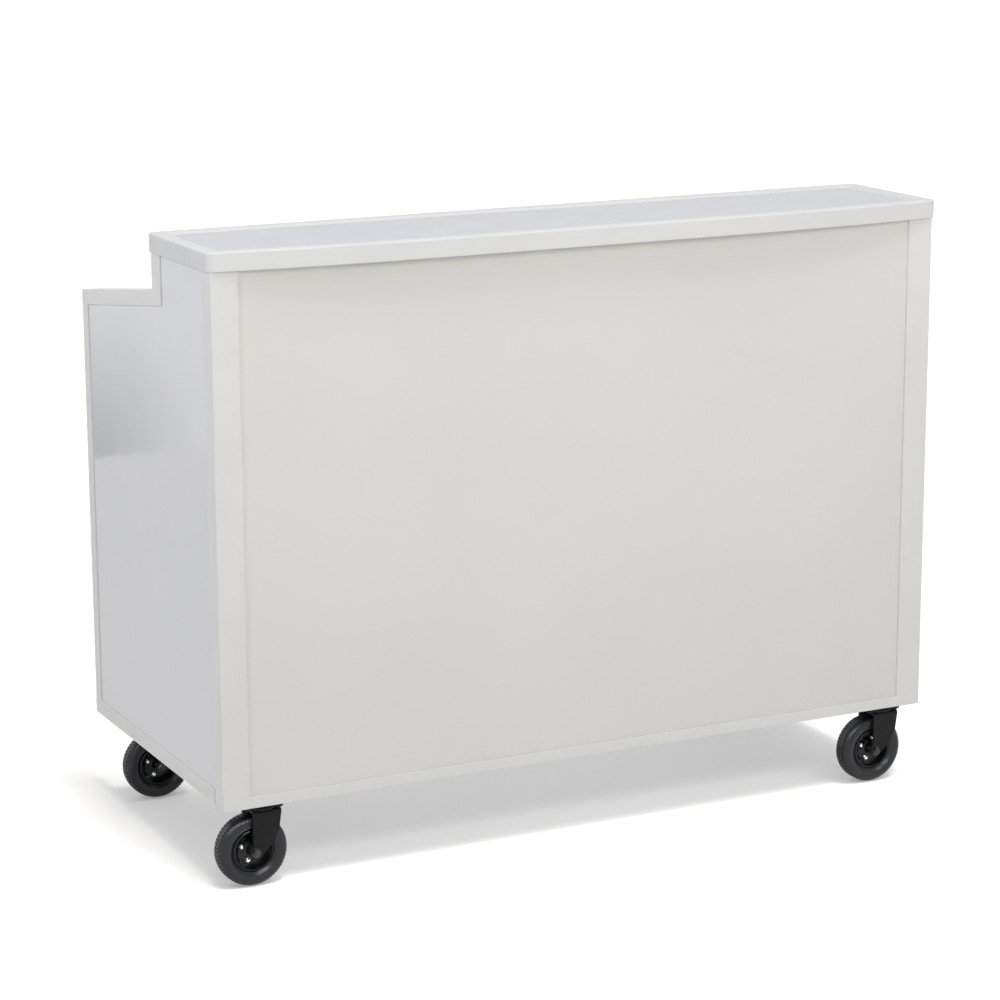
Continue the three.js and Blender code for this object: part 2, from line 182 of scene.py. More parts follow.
# Cast acrylic sheet: a hard mirror-like skin, cool white, with the long waves of a thin panel.
SIDE_SHEET = Finish("cast_acrylic_cool_white", "gloss_side_panel", "#dcdce0", "#d8d9dc",
                    0.06, grain_mm=260, grain_height_mm=0.7, spread=0.02, ior=1.49)
# Solid-surface edge of the top, sanded satin: smooth, with a broad soft highlight.
TOP_SLAB = Finish("solid_surface_white", "bar_top_laminate", "#dededc", "#dadad9",
                  0.44, grain_mm=30, grain_height_mm=0.02, ior=1.48, specular=0.25)
# High-pressure laminate inlaid in the top: cool, wipe-clean, a shade greyer than the edge.
TOP_INLAY = Finish("polished_laminate_cool_white", "bar_top_laminate", "#cbcdd0", "#c7cacd",
                   0.34, grain_mm=60, grain_height_mm=0.05, cloud_mm=300, specular=0.2)
# Melamine-faced board: plain white, nearly matt, with a fine pressed texture.
SHELF_FACE = Finish("melamine_board_white", "shelf_board", "#e3e2de", "#dedcd8",
                    0.46, grain_mm=4, grain_height_mm=0.03)
# Zinc-plated steel strip: bright, a little blue, with a fine mottled plate.
ZINC = Finish("zinc_plated_steel", "zinc_steel", "#c9ccd1", "#b4b8be", 0.3, grain_mm=0.9,
              grain_height_mm=0.006, cloud_mm=9, spread=0.07, metallic=1.0)
# Polished zinc on the wheel bolts: nearly a mirror, so that the domed heads catch the light.
BRIGHT_ZINC = Finish("polished_zinc_plate", "zinc_steel", "#eceef2", "#e2e5ea", 0.16, grain_mm=1.2,
                     grain_height_mm=0.004, cloud_mm=6, spread=0.04, metallic=1.0)
# Oxide-blackened bolt steel: dark, oily, with dull highlights on the corners.
OXIDE = Finish("black_oxide_steel", "zinc_steel", "#504e4a", "#3e3c39", 0.3, grain_mm=1.1,
               grain_height_mm=0.02, cloud_mm=7, spread=0.08, metallic=1.0)
# Black powder coat on pressed steel: nearly matt, slightly peeled.
BLACK_STEEL = Finish("powder_coated_steel_black", "black_steel", "#131514", "#181a19", 0.5,
                     grain_mm=2.2, grain_height_mm=0.03, cloud_mm=30, specular=0.16)
# Stoved black enamel on the wheel pressings: deep and glossy.
RIM_ENAMEL = Finish("stoved_enamel_black", "black_rim", "#0c0d0f", "#121315", 0.2, grain_mm=3.0,
                    grain_height_mm=0.01, cloud_mm=25, specular=0.27)
# Moulded rubber: blue-black, with a low waxy sheen, greyed a little in clouds.
RUBBER = Finish("moulded_rubber_black", "tyre_rubber", "#131418", "#1c1d23", 0.32, grain_mm=0.8,
                grain_height_mm=0.05, cloud_mm=14, spread=0.07, specular=0.36)
# Injection-moulded polyethylene plug: soft white, waxy.
PLUG = Finish("moulded_polyethylene_white", "white_steel", "#d3d2ce", "#cbcac6", 0.5, grain_mm=1.5,
              grain_height_mm=0.02)


class Repeat(Enum):
    """How a repeated item is laid out."""

    ROW = "row"
    RING = "ring"


def repeat_tree(layout: Repeat) -> bpy.types.NodeTree:
    """Builds the node tree that repeats one item along a line or round an axis.

    Args:
        layout: A row with a start and a step, or a ring with a centre, an axis and a first angle.

    Returns:
        A geometry tree that ends in plain faces with their material.
    """
    tree = bpy.data.node_groups.new(f"{layout.value}_of_items", "GeometryNodeTree")
    tree.interface.new_socket("Geometry", in_out="OUTPUT", socket_type="NodeSocketGeometry")
    sockets = {"Item": "Object", "Finish": "Material", "Count": "Int"}
    if layout is Repeat.ROW:
        sockets |= {"Start": "Vector", "Step": "Vector"}
    else:
        sockets |= {"Centre": "Vector", "Axis": "Vector", "First": "Float"}
    for name, kind in sockets.items():
        tree.interface.new_socket(name, in_out="INPUT", socket_type=f"NodeSocket{kind}")
    given = node(tree, "NodeGroupInput").outputs
    item = node(tree, "GeometryNodeObjectInfo", {"Object": given["Item"], "As Instance": True})
    spots = {"Instance": item.outputs["Geometry"]}
    if layout is Repeat.ROW:
        line = node(tree, "GeometryNodeMeshLine",
                    {"Count": given["Count"], "Start Location": given["Start"], "Offset": given["Step"]})
        spots["Points"] = line.outputs[0]
    else:
        stack = node(tree, "GeometryNodePoints", {"Count": given["Count"], "Position": given["Centre"]})
        share = node(tree, "ShaderNodeMath", {0: math.tau, 1: given["Count"]}, operation="DIVIDE")
        index = node(tree, "GeometryNodeInputIndex")
        angle = node(tree, "ShaderNodeMath",
                     {0: index.outputs[0], 1: share.outputs[0], 2: given["First"]},
                     operation="MULTIPLY_ADD")
        turn = node(tree, "FunctionNodeAxisAngleToRotation",
                    {"Axis": given["Axis"], "Angle": angle.outputs[0]})
        spots["Points"] = stack.outputs[0]
        spots["Rotation"] = turn.outputs[0]
    laid = node(tree, "GeometryNodeInstanceOnPoints", spots)
    plain = node(tree, "GeometryNodeRealizeInstances", {"Geometry": laid.outputs[0]})
    dressed = node(tree, "GeometryNodeSetMaterial",
                   {"Geometry": plain.outputs[0], "Material": given["Finish"]})
    node(tree, "NodeGroupOutput", {"Geometry": dressed.outputs[0]})
    return tree


def evaluated(draft: bpy.types.Object) -> bpy.types.Mesh:
    """Takes an object's modifiers into a plain mesh and removes the object.

    Args:
        draft: An object that is already in the scene.

    Returns:
        The mesh that the modifiers give.
    """
    graph = bpy.context.evaluated_depsgraph_get()
    mesh = bpy.data.meshes.new_from_object(draft.evaluated_get(graph), preserve_all_data_layers=True,
                                           depsgraph=graph)
    draft.modifiers.clear()
    bpy.data.objects.remove(draft)
    return mesh


def drafted(mesh: bpy.types.Mesh) -> bpy.types.Object:
    """Puts a mesh in the scene as an object for modifiers to work on."""
    draft = bpy.data.objects.new("draft", mesh)
    bpy.context.scene.collection.objects.link(draft)
    return draft


def polished(mesh: bpy.types.Mesh, edge: float = 0.0, segments: int = 2,
             sharp_deg: float = 40.0) -> bpy.types.Mesh:
    """Rounds the sharp edges of a mesh and shades it so that flats stay flat.

    Args:
        mesh: A closed mesh in metres.
        edge: Radius of the rounding in millimetres, or 0 for none.
        segments: Faces across the rounding.
        sharp_deg: Angle past which an edge counts as sharp.

    Returns:
        A new mesh.
    """
    if edge:
        draft = drafted(mesh)
        bevel = draft.modifiers.new("edge", "BEVEL")
        bevel.width = edge * MM
        bevel.segments = segments
        bevel.limit_method = "ANGLE"
        bevel.angle_limit = math.radians(sharp_deg)
        bevel.miter_outer = "MITER_ARC"
        mesh = evaluated(draft)
    mesh.shade_smooth()
    mesh.set_sharp_from_angle(angle=math.radians(sharp_deg))
    draft = drafted(mesh)
    weights = draft.modifiers.new("flats", "WEIGHTED_NORMAL")
    weights.keep_sharp = True
    return evaluated(draft)


def closed(work: bmesh.types.BMesh, name: str) -> bpy.types.Mesh:
    """Merges doubles, turns every face outwards and hands the work over as a mesh."""
    bmesh.ops.remove_doubles(work, verts=work.verts, dist=1e-7)
    bmesh.ops.recalc_face_normals(work, faces=work.faces)
    mesh = bpy.data.meshes.new(name)
    work.to_mesh(mesh)
    work.free()
    return mesh


def loft(loops: Sequence[Sequence[Vector]], name: str, ring: bool = False) -> bpy.types.Mesh:
    """Skins a stack of loops that have the same number of points.

    Args:
        loops: Closed loops in order.
        name: Name of the mesh.
        ring: True if the last loop joins the first; otherwise both ends are capped.

    Returns:
        A closed mesh.
    """
    work = bmesh.new()
    rows = [[work.verts.new(point) for point in loop] for loop in loops]
    count = len(rows[0])
    pairs = list(zip(rows, rows[1:]))
    if ring:
        pairs.append((rows[-1], rows[0]))
    else:
        work.faces.new(rows[0])
        work.faces.new(rows[-1])
    for low, high in pairs:
        for i in range(count):
            j = (i + 1) % count
            work.faces.new((low[i], low[j], high[j], high[i]))
    return closed(work, name)


def turned(outline: Outline, centre: Vector, axis: Vector, steps: int, name: str) -> bpy.types.Mesh:
    """Turns a closed outline about an axis.

    Args:
        outline: (radius, distance along the axis) points in millimetres, in order.
        centre: A point on the axis, in metres.
        axis: The axis as a unit vector.
        steps: Points round the axis.
        name: Name of the mesh.

    Returns:
        A closed mesh in metres.
    """
    out = axis.orthogonal().normalized()
    loops = []
    for i in range(steps):
        spoke = Matrix.Rotation(math.tau * i / steps, 3, axis) @ out
        loops.append([centre + (spoke * r + axis * d) * MM for r, d in outline])
    return loft(loops, name, ring=True)


def prism(section: Sequence[Vector], along: Vector, name: str) -> bpy.types.Mesh:
    """Gives a flat outline a length along a vector, both in metres."""
    return loft([list(section), [point + along for point in section]], name)


def arc(centre: tuple[float, float], radius: float, start: float, end: float,
        steps: int) -> list[tuple[float, float]]:
    """Points on an arc between two angles in degrees, both ends included."""
    angles = [math.radians(start + (end - start) * i / steps) for i in range(steps + 1)]
    return [(centre[0] + radius * math.cos(a), centre[1] + radius * math.sin(a)) for a in angles]


def rounded_rect(low: tuple[float, float], high: tuple[float, float], radius: float,
                 steps: int = 6) -> list[tuple[float, float]]:
    """A rectangle with round corners, anticlockwise, in the units of its corners."""
    corners = [((high[0], low[1]), -90), (high, 0), ((low[0], high[1]), 90), (low, 180)]
    points: list[tuple[float, float]] = []
    for (x, y), start in corners:
        middle = (x - math.copysign(radius, x - (low[0] + high[0]) / 2),
                  y - math.copysign(radius, y - (low[1] + high[1]) / 2))
        points += arc(middle, radius, start, start + 90, steps)
    return points


def joined(meshes: Iterable[bpy.types.Mesh], name: str) -> bpy.types.Mesh:
    """Puts several closed meshes into one, each keeping its own faces."""
    work = bmesh.new()
    for mesh in meshes:
        work.from_mesh(mesh)
    mesh = bpy.data.meshes.new(name)
    work.to_mesh(mesh)
    work.free()
    return mesh


@dataclass
class Bench:
    """Holds the frame and the finishes, and sets finished pieces on their bodies."""

    frame: dict
    materials: dict[str, bpy.types.Material] = field(default_factory=dict)
    trees: dict[Repeat, bpy.types.NodeTree] = field(default_factory=dict)

    def paint(self, finish: Finish) -> bpy.types.Material:
        """Gives the material of a finish, made on first use."""
        if finish.name not in self.materials:
            self.materials[finish.name] = finish.make()
        return self.materials[finish.name]

    def body(self, cad_node: str) -> str:
        """Names the body that a CAD node rides on."""
        return self.frame["nodes"][cad_node]["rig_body"]

    def joint(self, name: str) -> Vector:
        """Gives the point on a joint's axis, in metres."""
        return next(Vector(j["pos_m"]) for j in self.frame["joints"] if j["name"] == name)

    def copy(self, cad_node: str) -> bpy.types.Mesh:
        """Copies a CAD node as a merged mesh of flat faces, for dressing."""
        work = bmesh.new()
        work.from_mesh(self.frame["nodes"][cad_node].data)
        bmesh.ops.remove_doubles(work, verts=work.verts, dist=1e-6)
        bmesh.ops.dissolve_limit(work, angle_limit=math.radians(1), verts=work.verts, edges=work.edges)
        mesh = bpy.data.meshes.new(cad_node)
        work.to_mesh(mesh)
        work.free()
        return mesh

    def tube(self, cad_node: str, corner: float, low_weld: float = 0.0,
             high_weld: float = 0.0) -> bpy.types.Mesh:
        """Makes the outside of a box tube, with the round corners of drawn steel.

        Args:
            cad_node: A box tube, square or slanted at its ends.
            corner: Corner radius in millimetres.
            low_weld: How far the end with the lower coordinates is drawn out into its neighbour.
            high_weld: The same for the other end.

        Returns:
            A closed mesh with only its long edges rounded.
        """
        work = bmesh.new()
        for vertex in self.frame["nodes"][cad_node].data.vertices:
            work.verts.new(vertex.co)
        bmesh.ops.remove_doubles(work, verts=work.verts, dist=1e-6)
        bmesh.ops.convex_hull(work, input=work.verts)
        loose = [v for v in work.verts if not v.link_faces]
        bmesh.ops.delete(work, geom=loose, context="VERTS")
        bmesh.ops.dissolve_limit(work, angle_limit=math.radians(1), verts=work.verts, edges=work.edges)

        def run(edge: bmesh.types.BMEdge) -> Vector:
            """The edge as a vector."""
            return edge.verts[1].co - edge.verts[0].co

        longest = run(max(work.edges, key=lambda e: e.calc_length())).normalized()
        longest *= math.copysign(1, sum(longest))
        edges = [e for e in work.edges if abs(run(e).normalized().dot(longest)) > 0.98]
        for edge in edges:
            far = max(edge.verts, key=lambda v: v.co.dot(longest))
            near = edge.other_vert(far)
            far.co += longest * high_weld * MM
            near.co -= longest * low_weld * MM
        bmesh.ops.bevel(work, geom=edges, offset=corner * MM, offset_type="OFFSET", segments=4,
                        profile=0.5, affect="EDGES", clamp_overlap=True)
        return closed(work, cad_node)

    def repeat(self, layout: Repeat, item: bpy.types.Mesh, finish: Finish, **sizes) -> bpy.types.Mesh:
        """Repeats an item with a node tree and returns the plain mesh.

        Args:
            layout: Row or ring.
            item: The mesh to repeat.
            finish: What the copies are made of.
            **sizes: The tree's other inputs by name.

        Returns:
            One mesh that holds every copy.
        """
        if layout not in self.trees:
            self.trees[layout] = repeat_tree(layout)
        tree = self.trees[layout]
        pattern = drafted(item)
        carrier = drafted(bpy.data.meshes.new("carrier"))
        names = {s.name: s.identifier for s in tree.interface.items_tree if s.in_out == "INPUT"}
        modifier = carrier.modifiers.new("repeat", "NODES")
        modifier.node_group = tree
        for name, value in {"Item": pattern, "Finish": self.paint(finish), **sizes}.items():
            modifier[names[name]] = value
        mesh = evaluated(carrier)
        bpy.data.objects.remove(pattern)
        return mesh

    def fit(self, name: str, mesh: bpy.types.Mesh, finish: Finish, body: str,
            stands_for: Sequence[str] = ()) -> bpy.types.Object:
        """Sets a finished piece on its body.

        Args:
            name: Name of the piece.
            mesh: Its mesh, in place.
            finish: What it is made of.
            body: The CAD body that it moves with.
            stands_for: CAD nodes that it replaces.

        Returns:
            The new object.
        """
        mesh.name = name
        mesh.materials.clear()
        mesh.materials.append(self.paint(finish))
        piece = bpy.data.objects.new(name, mesh)
        bpy.context.scene.collection.objects.link(piece)
        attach(piece, body)
        if stands_for:
            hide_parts(*stands_for)
        LOG.info("%s on %s: %d faces of %s", name, body, len(mesh.polygons), finish.name)
        return piece


HANDS = {"left": -1.0, "right": 1.0}
X, Y, Z = Vector((1, 0, 0)), Vector((0, 1, 0)), Vector((0, 0, 1))
STRIP_EDGE = 0.3     # rounding of rolled strip
KNUCKLE_EDGE = 0.25  # rounding of a knuckle's ends
KNUCKLE_SHARP_DEG = 50
BUTT = 0.25          # how far a tube that only butts is drawn out to touch


@dataclass
class FrontFrame:
    """The front of the bar: corner posts, rails, inset panel, uprights and gussets."""

    bench: Bench
    corner: float = 2.4
    rail_corner: float = 1.1
    weld: float = 2.5
    end: float = 0.15
    sheet_edge: float = 0.2
    gusset_edge: float = 0.9
    sheet_gap: float = 0.3
    top_gap: float = 0.4
    # Sizes of the grey strip of painted shade on the rail's ledge at the sheet's foot.
    shade_line_rise: float = 0.9
    shade_line_back: float = 0.5
    shade_line_lap: float = 0.5
    shade_line_sink: float = 0.4

    def build(self) -> None:
        """Makes every fixed piece of the front except the bar top and the caster plates."""
        bench = self.bench
        rail = (self.rail_corner, self.weld, self.weld)
        tubes = {"bottom_rail": rail, "top_rail": rail}
        for hand in HANDS:
            tubes[f"{hand}_post"] = (self.corner, 0.0, self.top_gap)
            tubes[f"{hand}_upright"] = (self.corner, BUTT, BUTT)
        for name, (corner, low_weld, high_weld) in tubes.items():
            skin = polished(bench.tube(name, corner, low_weld, high_weld), self.end, 1, 60)
            bench.fit(f"{name}_tube", skin, WHITE_STEEL, bench.body(name), [name])
        sheet = polished(self.panel(), self.sheet_edge)
        bench.fit("front_panel_sheet", sheet, FRONT_SHEET, bench.body("front_panel"), ["front_panel"])
        # The grey strip at the sheet's foot is painted shade: a dark line where the recess lies in shade.
        bench.fit("front_panel_seal", polished(self.seal(), self.end), PAINTED_SHADE_STRIP, bench.body("front_panel"))
        for hand in HANDS:
            name = f"{hand}_top_bracket"
            plate = polished(bench.copy(name), self.gusset_edge)
            bench.fit(f"{name}_gusset", plate, WHITE_STEEL, bench.body(name), [name])

    def panel(self) -> bpy.types.Mesh:
        """Makes the front sheet, sprung in so that its edges meet the posts and the rail."""
        low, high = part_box("front_panel")
        slack = self.sheet_gap * MM
        corners = [Vector((x, low.y, z)) for x, z in (
            (low.x - slack, low.z - slack), (high.x + slack, low.z - slack),
            (high.x + slack, high.z + self.top_gap * MM), (low.x - slack, high.z + self.top_gap * MM))]
        return prism(corners, Y * (high.y - low.y), "front_panel")

    def seal(self) -> bpy.types.Mesh:
        """Makes the grey strip on the rail's ledge at the foot of the front sheet: painted shade for the
        shaded recess line there.
        """
        low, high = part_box("front_panel")
        front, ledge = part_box("bottom_rail")[0].y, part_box("bottom_rail")[1].z
        y0, y1 = front + self.shade_line_back * MM, low.y + self.shade_line_lap * MM
        z0, z1 = ledge - self.shade_line_sink * MM, ledge + self.shade_line_rise * MM
        section = [Vector((low.x, y, z)) for y, z in ((y0, z0), (y1, z0), (y1, z1), (y0, z1))]
        return prism(section, X * (high.x - low.x), "seal")


@dataclass
class BarTop:
    """The bar top: one smooth slab with a raised rim round a sunk serving surface."""

    bench: Bench
    corner: float = 16.0
    well_corner: float = 14.0
    bow: float = 28.0
    bow_steps: int = 32
    # (inset from the outline, height above the underside) from the underside up and over the rim.
    section: tuple[tuple[float, float], ...] = (
        (16, 0), (1.6, 0), (0.8, 0.1), (0.2, 0.6), (0, 1.4), (0, 5), (0, 30.5), (0, 32), (0.3, 33.4),
        (1, 34.4), (2, 34.9), (3.2, 35), (7, 35), (22, 35), (24, 34.9), (26.5, 34.3),
        (29, 33.1), (31.5, 31.9), (34, 31.2), (37, 31), (40, 31))

    def build(self) -> None:
        """Lofts the slab from its section and sets it on the front frame."""
        bench = self.bench
        low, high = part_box("bar_top")[0] / MM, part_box("bar_top_rim")[1] / MM
        loops = []
        for inset, height in self.section:
            radius = max(self.corner - inset, 2.0) if inset < 20 else self.well_corner
            flat = self.outline(low, high, inset, radius)
            loops.append([Vector((x, y, low.z + height)) * MM for x, y in flat])
        slab = polished(loft(loops, "bar_top"))
        bench.fit("bar_top_slab", slab, TOP_SLAB, bench.body("bar_top"), ["bar_top", "bar_top_rim"])
        self.inlay(low, high)

    def outline(self, low: Vector, high: Vector, inset: float, radius: float) -> list[tuple[float, float]]:
        """Draws one level of the top, its front edge bowed out and bent back towards the ends.

        Args:
            low: The low corner of the slab's box, in millimetres.
            high: The high corner of the slab's box, in millimetres.
            inset: How far this level lies inside the slab's own outline.
            radius: The corner radius of this level.

        Returns:
            The points of the level, anticlockwise.
        """
        flat = rounded_rect((low.x + inset, low.y + inset), (high.x - inset, high.y - inset), radius, 8)
        front, rear = low.y + inset, high.y - inset
        first, last = flat[0][0], flat[-1][0]
        flat += [(last + (first - last) * i / self.bow_steps, front) for i in range(1, self.bow_steps)]
        return [(x, y + self.bow * (x / high.x) ** 4 * (rear - y) / (rear - front)) for x, y in flat]

    def inlay(self, low: Vector, high: Vector) -> None:
        """Lays the serving sheet in the well, a hair proud of the slab."""
        loops = []
        for inset, height in ((37.5, 30.4), (37.5, 31.15), (37.8, 31.3), (39, 31.3)):
            flat = self.outline(low, high, inset, self.well_corner)
            loops.append([Vector((x, y, low.z + height)) * MM for x, y in flat])
        sheet = polished(loft(loops, "inlay"))
        self.bench.fit("bar_top_inlay", sheet, TOP_INLAY, self.bench.body("bar_top"))


@dataclass
class SideFrame:
    """One stepped side that folds in: tubes, gloss panel, cross rails with tabs, end plug."""

    bench: Bench
    hand: str
    corner: float = 1.6
    weld: float = 1.6
    end: float = 0.15
    sheet_edge: float = 0.25
    rail_edge: float = 0.9
    plug_wall: float = 2.0
    plug_depth: float = 6.0
    plug_proud: float = 1.2

    def build(self) -> None:
        """Makes the pieces of the side, apart from its hinge leaf and caster plate."""
        bench, hand = self.bench, self.hand
        welds = {"bottom_rail": (0.0, 0.0), "front_stile": (BUTT, 0.0), "rear_stile": (self.weld, self.weld),
                 "step_rail": (0.0, 0.0), "riser_stile": (self.weld, 0.0)}
        for part, (low_weld, high_weld) in welds.items():
            name = f"{hand}_side_{part}"
            skin = polished(bench.tube(name, self.corner, low_weld, high_weld), self.end, 1, 60)
            bench.fit(f"{name}_tube", skin, WHITE_STEEL, bench.body(name), [name])
        name = f"{hand}_side_panel"
        sheet = polished(bench.copy(name), self.sheet_edge)
        bench.fit(f"{name}_sheet", sheet, SIDE_SHEET, bench.body(name), [name])
        for part in ("work_rail", "store_rail"):
            name = f"{hand}_side_{part}"
            rail = polished(bench.copy(name), self.rail_edge)
            bench.fit(f"{name}_tabbed", rail, WHITE_STEEL, bench.body(name), [name])
        self.plug()

    def plug(self) -> None:
        """Caps the open rear end of the bottom rail with a moulded plug."""
        name = f"{self.hand}_side_bottom_rail"
        low, high = (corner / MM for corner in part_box(name))
        stations = [(self.plug_wall, -self.plug_depth), (self.plug_wall, 0.0), (0.6, 0.0), (0.6, 0.4),
                    (1.4, self.plug_proud), (4.0, self.plug_proud)]
        loops = []
        for inset, reach in stations:
            flat = rounded_rect((low.x + inset, low.z + inset), (high.x - inset, high.z - inset), 2.0, 4)
            loops.append([Vector((x, high.y + reach, z)) * MM for x, z in flat])
        cap = polished(loft(loops, name))
        self.bench.fit(f"{name}_plug", cap, PLUG, self.bench.body(name))


def curl(radius: float, thick: float, reach: float, steps: int = 14,
         last_deg: float = 205) -> list[tuple[float, float]]:
    """The section of a hinge leaf rolled round its pin.

    Args:
        radius: Outside radius of the knuckle in millimetres.
        thick: Leaf thickness.
        reach: How far the leaf runs on from the pin, towards -x, along y = -radius.
        steps: Points on the roll.
        last_deg: Where the roll ends; it starts at -90 degrees.

    Returns:
        A closed outline about the pin, in millimetres.
    """
    outer = arc((0, 0), radius, -90, last_deg, steps)
    inner = arc((0, 0), radius - thick, last_deg, -90, steps)
    return [(-reach, -radius), *outer, *inner, (-reach, thick - radius)]


def countersunk(head: float = 3.3, recess: float = 1.5) -> Outline:
    """The section of a flush screw head with a socket, as (radius, height) in millimetres."""
    return ((0.0, -1.2), (head * 0.5, -1.2), (head, -0.1), (head * 0.96, 0.14), (recess, 0.2),
            (recess * 0.9, -0.7), (0.0, -0.7))


@dataclass
class SideHinge:
    """The long hinge between a post and its side: two rolled leaves, a pin and flush screws."""

    bench: Bench
    hand: str
    knuckles: int = 11
    radius: float = 4.2
    leaf: float = 1.8
    pin: float = 2.0
    pin_bevel: float = 0.4
    slack: float = 0.4
    lap: float = 0.2
    margin: float = 40.0
    screw_step: float = 101.0

    def build(self) -> None:
        """Makes both leaves with their screws, and the pin."""
        bench, hand = self.bench, self.hand
        sign = HANDS[hand]
        low, high = (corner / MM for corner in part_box(f"{hand}_hinge_pin"))
        axis = bench.joint(f"{hand}_side_fold") / MM
        pitch = (high.z - low.z) / self.knuckles
        post_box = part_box(f"{hand}_hinge_post_leaf")
        side_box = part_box(f"{hand}_hinge_side_leaf")
        post_far = (post_box[0].x if sign > 0 else post_box[1].x) / MM
        side_far = side_box[1].y / MM

        def on_post(u: float, v: float) -> tuple[float, float]:
            """Turns a leaf's own section to lie along the post's rear face."""
            return axis.x + sign * u, axis.y + v

        def on_side(u: float, v: float) -> tuple[float, float]:
            """Turns a leaf's own section to lie along the side's inner face."""
            return axis.x - sign * v, axis.y - u

        self.leaf_strip("post", on_post, abs(post_far - axis.x), low.z, pitch, first=0)
        self.leaf_strip("side", on_side, abs(side_far - axis.y), low.z, pitch, first=1)
        name = f"{hand}_hinge_pin"
        end = self.pin - self.pin_bevel
        ends = ((0, low.z), (end, low.z), (self.pin, low.z + self.pin_bevel),
                (self.pin, high.z - self.pin_bevel), (end, high.z), (0, high.z))
        rod = polished(turned(ends, Vector((axis.x, axis.y, 0)) * MM, Z, 20, name))
        bench.fit(f"{name}_rod", rod, ZINC, bench.body(name), [name])

    def leaf_strip(self, place: str, turn: Callable[[float, float], tuple[float, float]], width: float,
                   foot: float, pitch: float, first: int) -> None:
        """Makes one leaf: a strip, its rolled knuckles in a row, and its screws.

        Args:
            place: "post" or "side".
            turn: Puts the leaf's own section in place, in millimetres.
            width: Distance from the pin to the leaf's far edge.
            foot: Height of the hinge's lower end.
            pitch: Height of one knuckle.
            first: Number of the leaf's first knuckle.
        """
        bench = self.bench
        name = f"{self.hand}_hinge_{place}_leaf"
        body = bench.body(name)
        count = (self.knuckles + 1 - first) // 2
        edge = self.radius + self.slack
        strip = [(-width, -self.radius), (-edge, -self.radius), (-edge, self.leaf - self.radius),
                 (-width, self.leaf - self.radius)]
        section = [Vector((*turn(u, v), foot)) * MM for u, v in strip]
        base = polished(prism(section, Z * pitch * self.knuckles * MM, name), STRIP_EDGE)
        roll = [Vector((*turn(u, v), 0)) * MM for u, v in curl(self.radius, self.leaf, edge + self.lap)]
        knuckle = prism(roll, Z * (pitch - 2 * self.slack) * MM, "knuckle")
        knuckle = polished(knuckle, KNUCKLE_EDGE, 1, KNUCKLE_SHARP_DEG)
        start = Z * (foot + first * pitch + self.slack) * MM
        rolls = bench.repeat(Repeat.ROW, knuckle, ZINC, Count=count, Start=start, Step=Z * 2 * pitch * MM)
        bench.fit(f"{name}_strip", joined([base, rolls], name), ZINC, body, [name])

        middle = -(width + edge) / 2
        face = self.leaf - self.radius
        spot = Vector((*turn(middle, face), 0)) * MM
        out = (Vector((*turn(middle, face + 1), 0)) * MM - spot).normalized()
        head = polished(turned(countersunk(), spot, out, 16, "screw"))
        height = pitch * self.knuckles - 2 * self.margin
        screws = 1 + int(height // self.screw_step)
        step = height / (screws - 1)
        row = bench.repeat(Repeat.ROW, head, ZINC, Count=screws, Start=Z * (foot + self.margin) * MM,
                           Step=Z * step * MM)
        bench.fit(f"{name}_screws", row, ZINC, body)


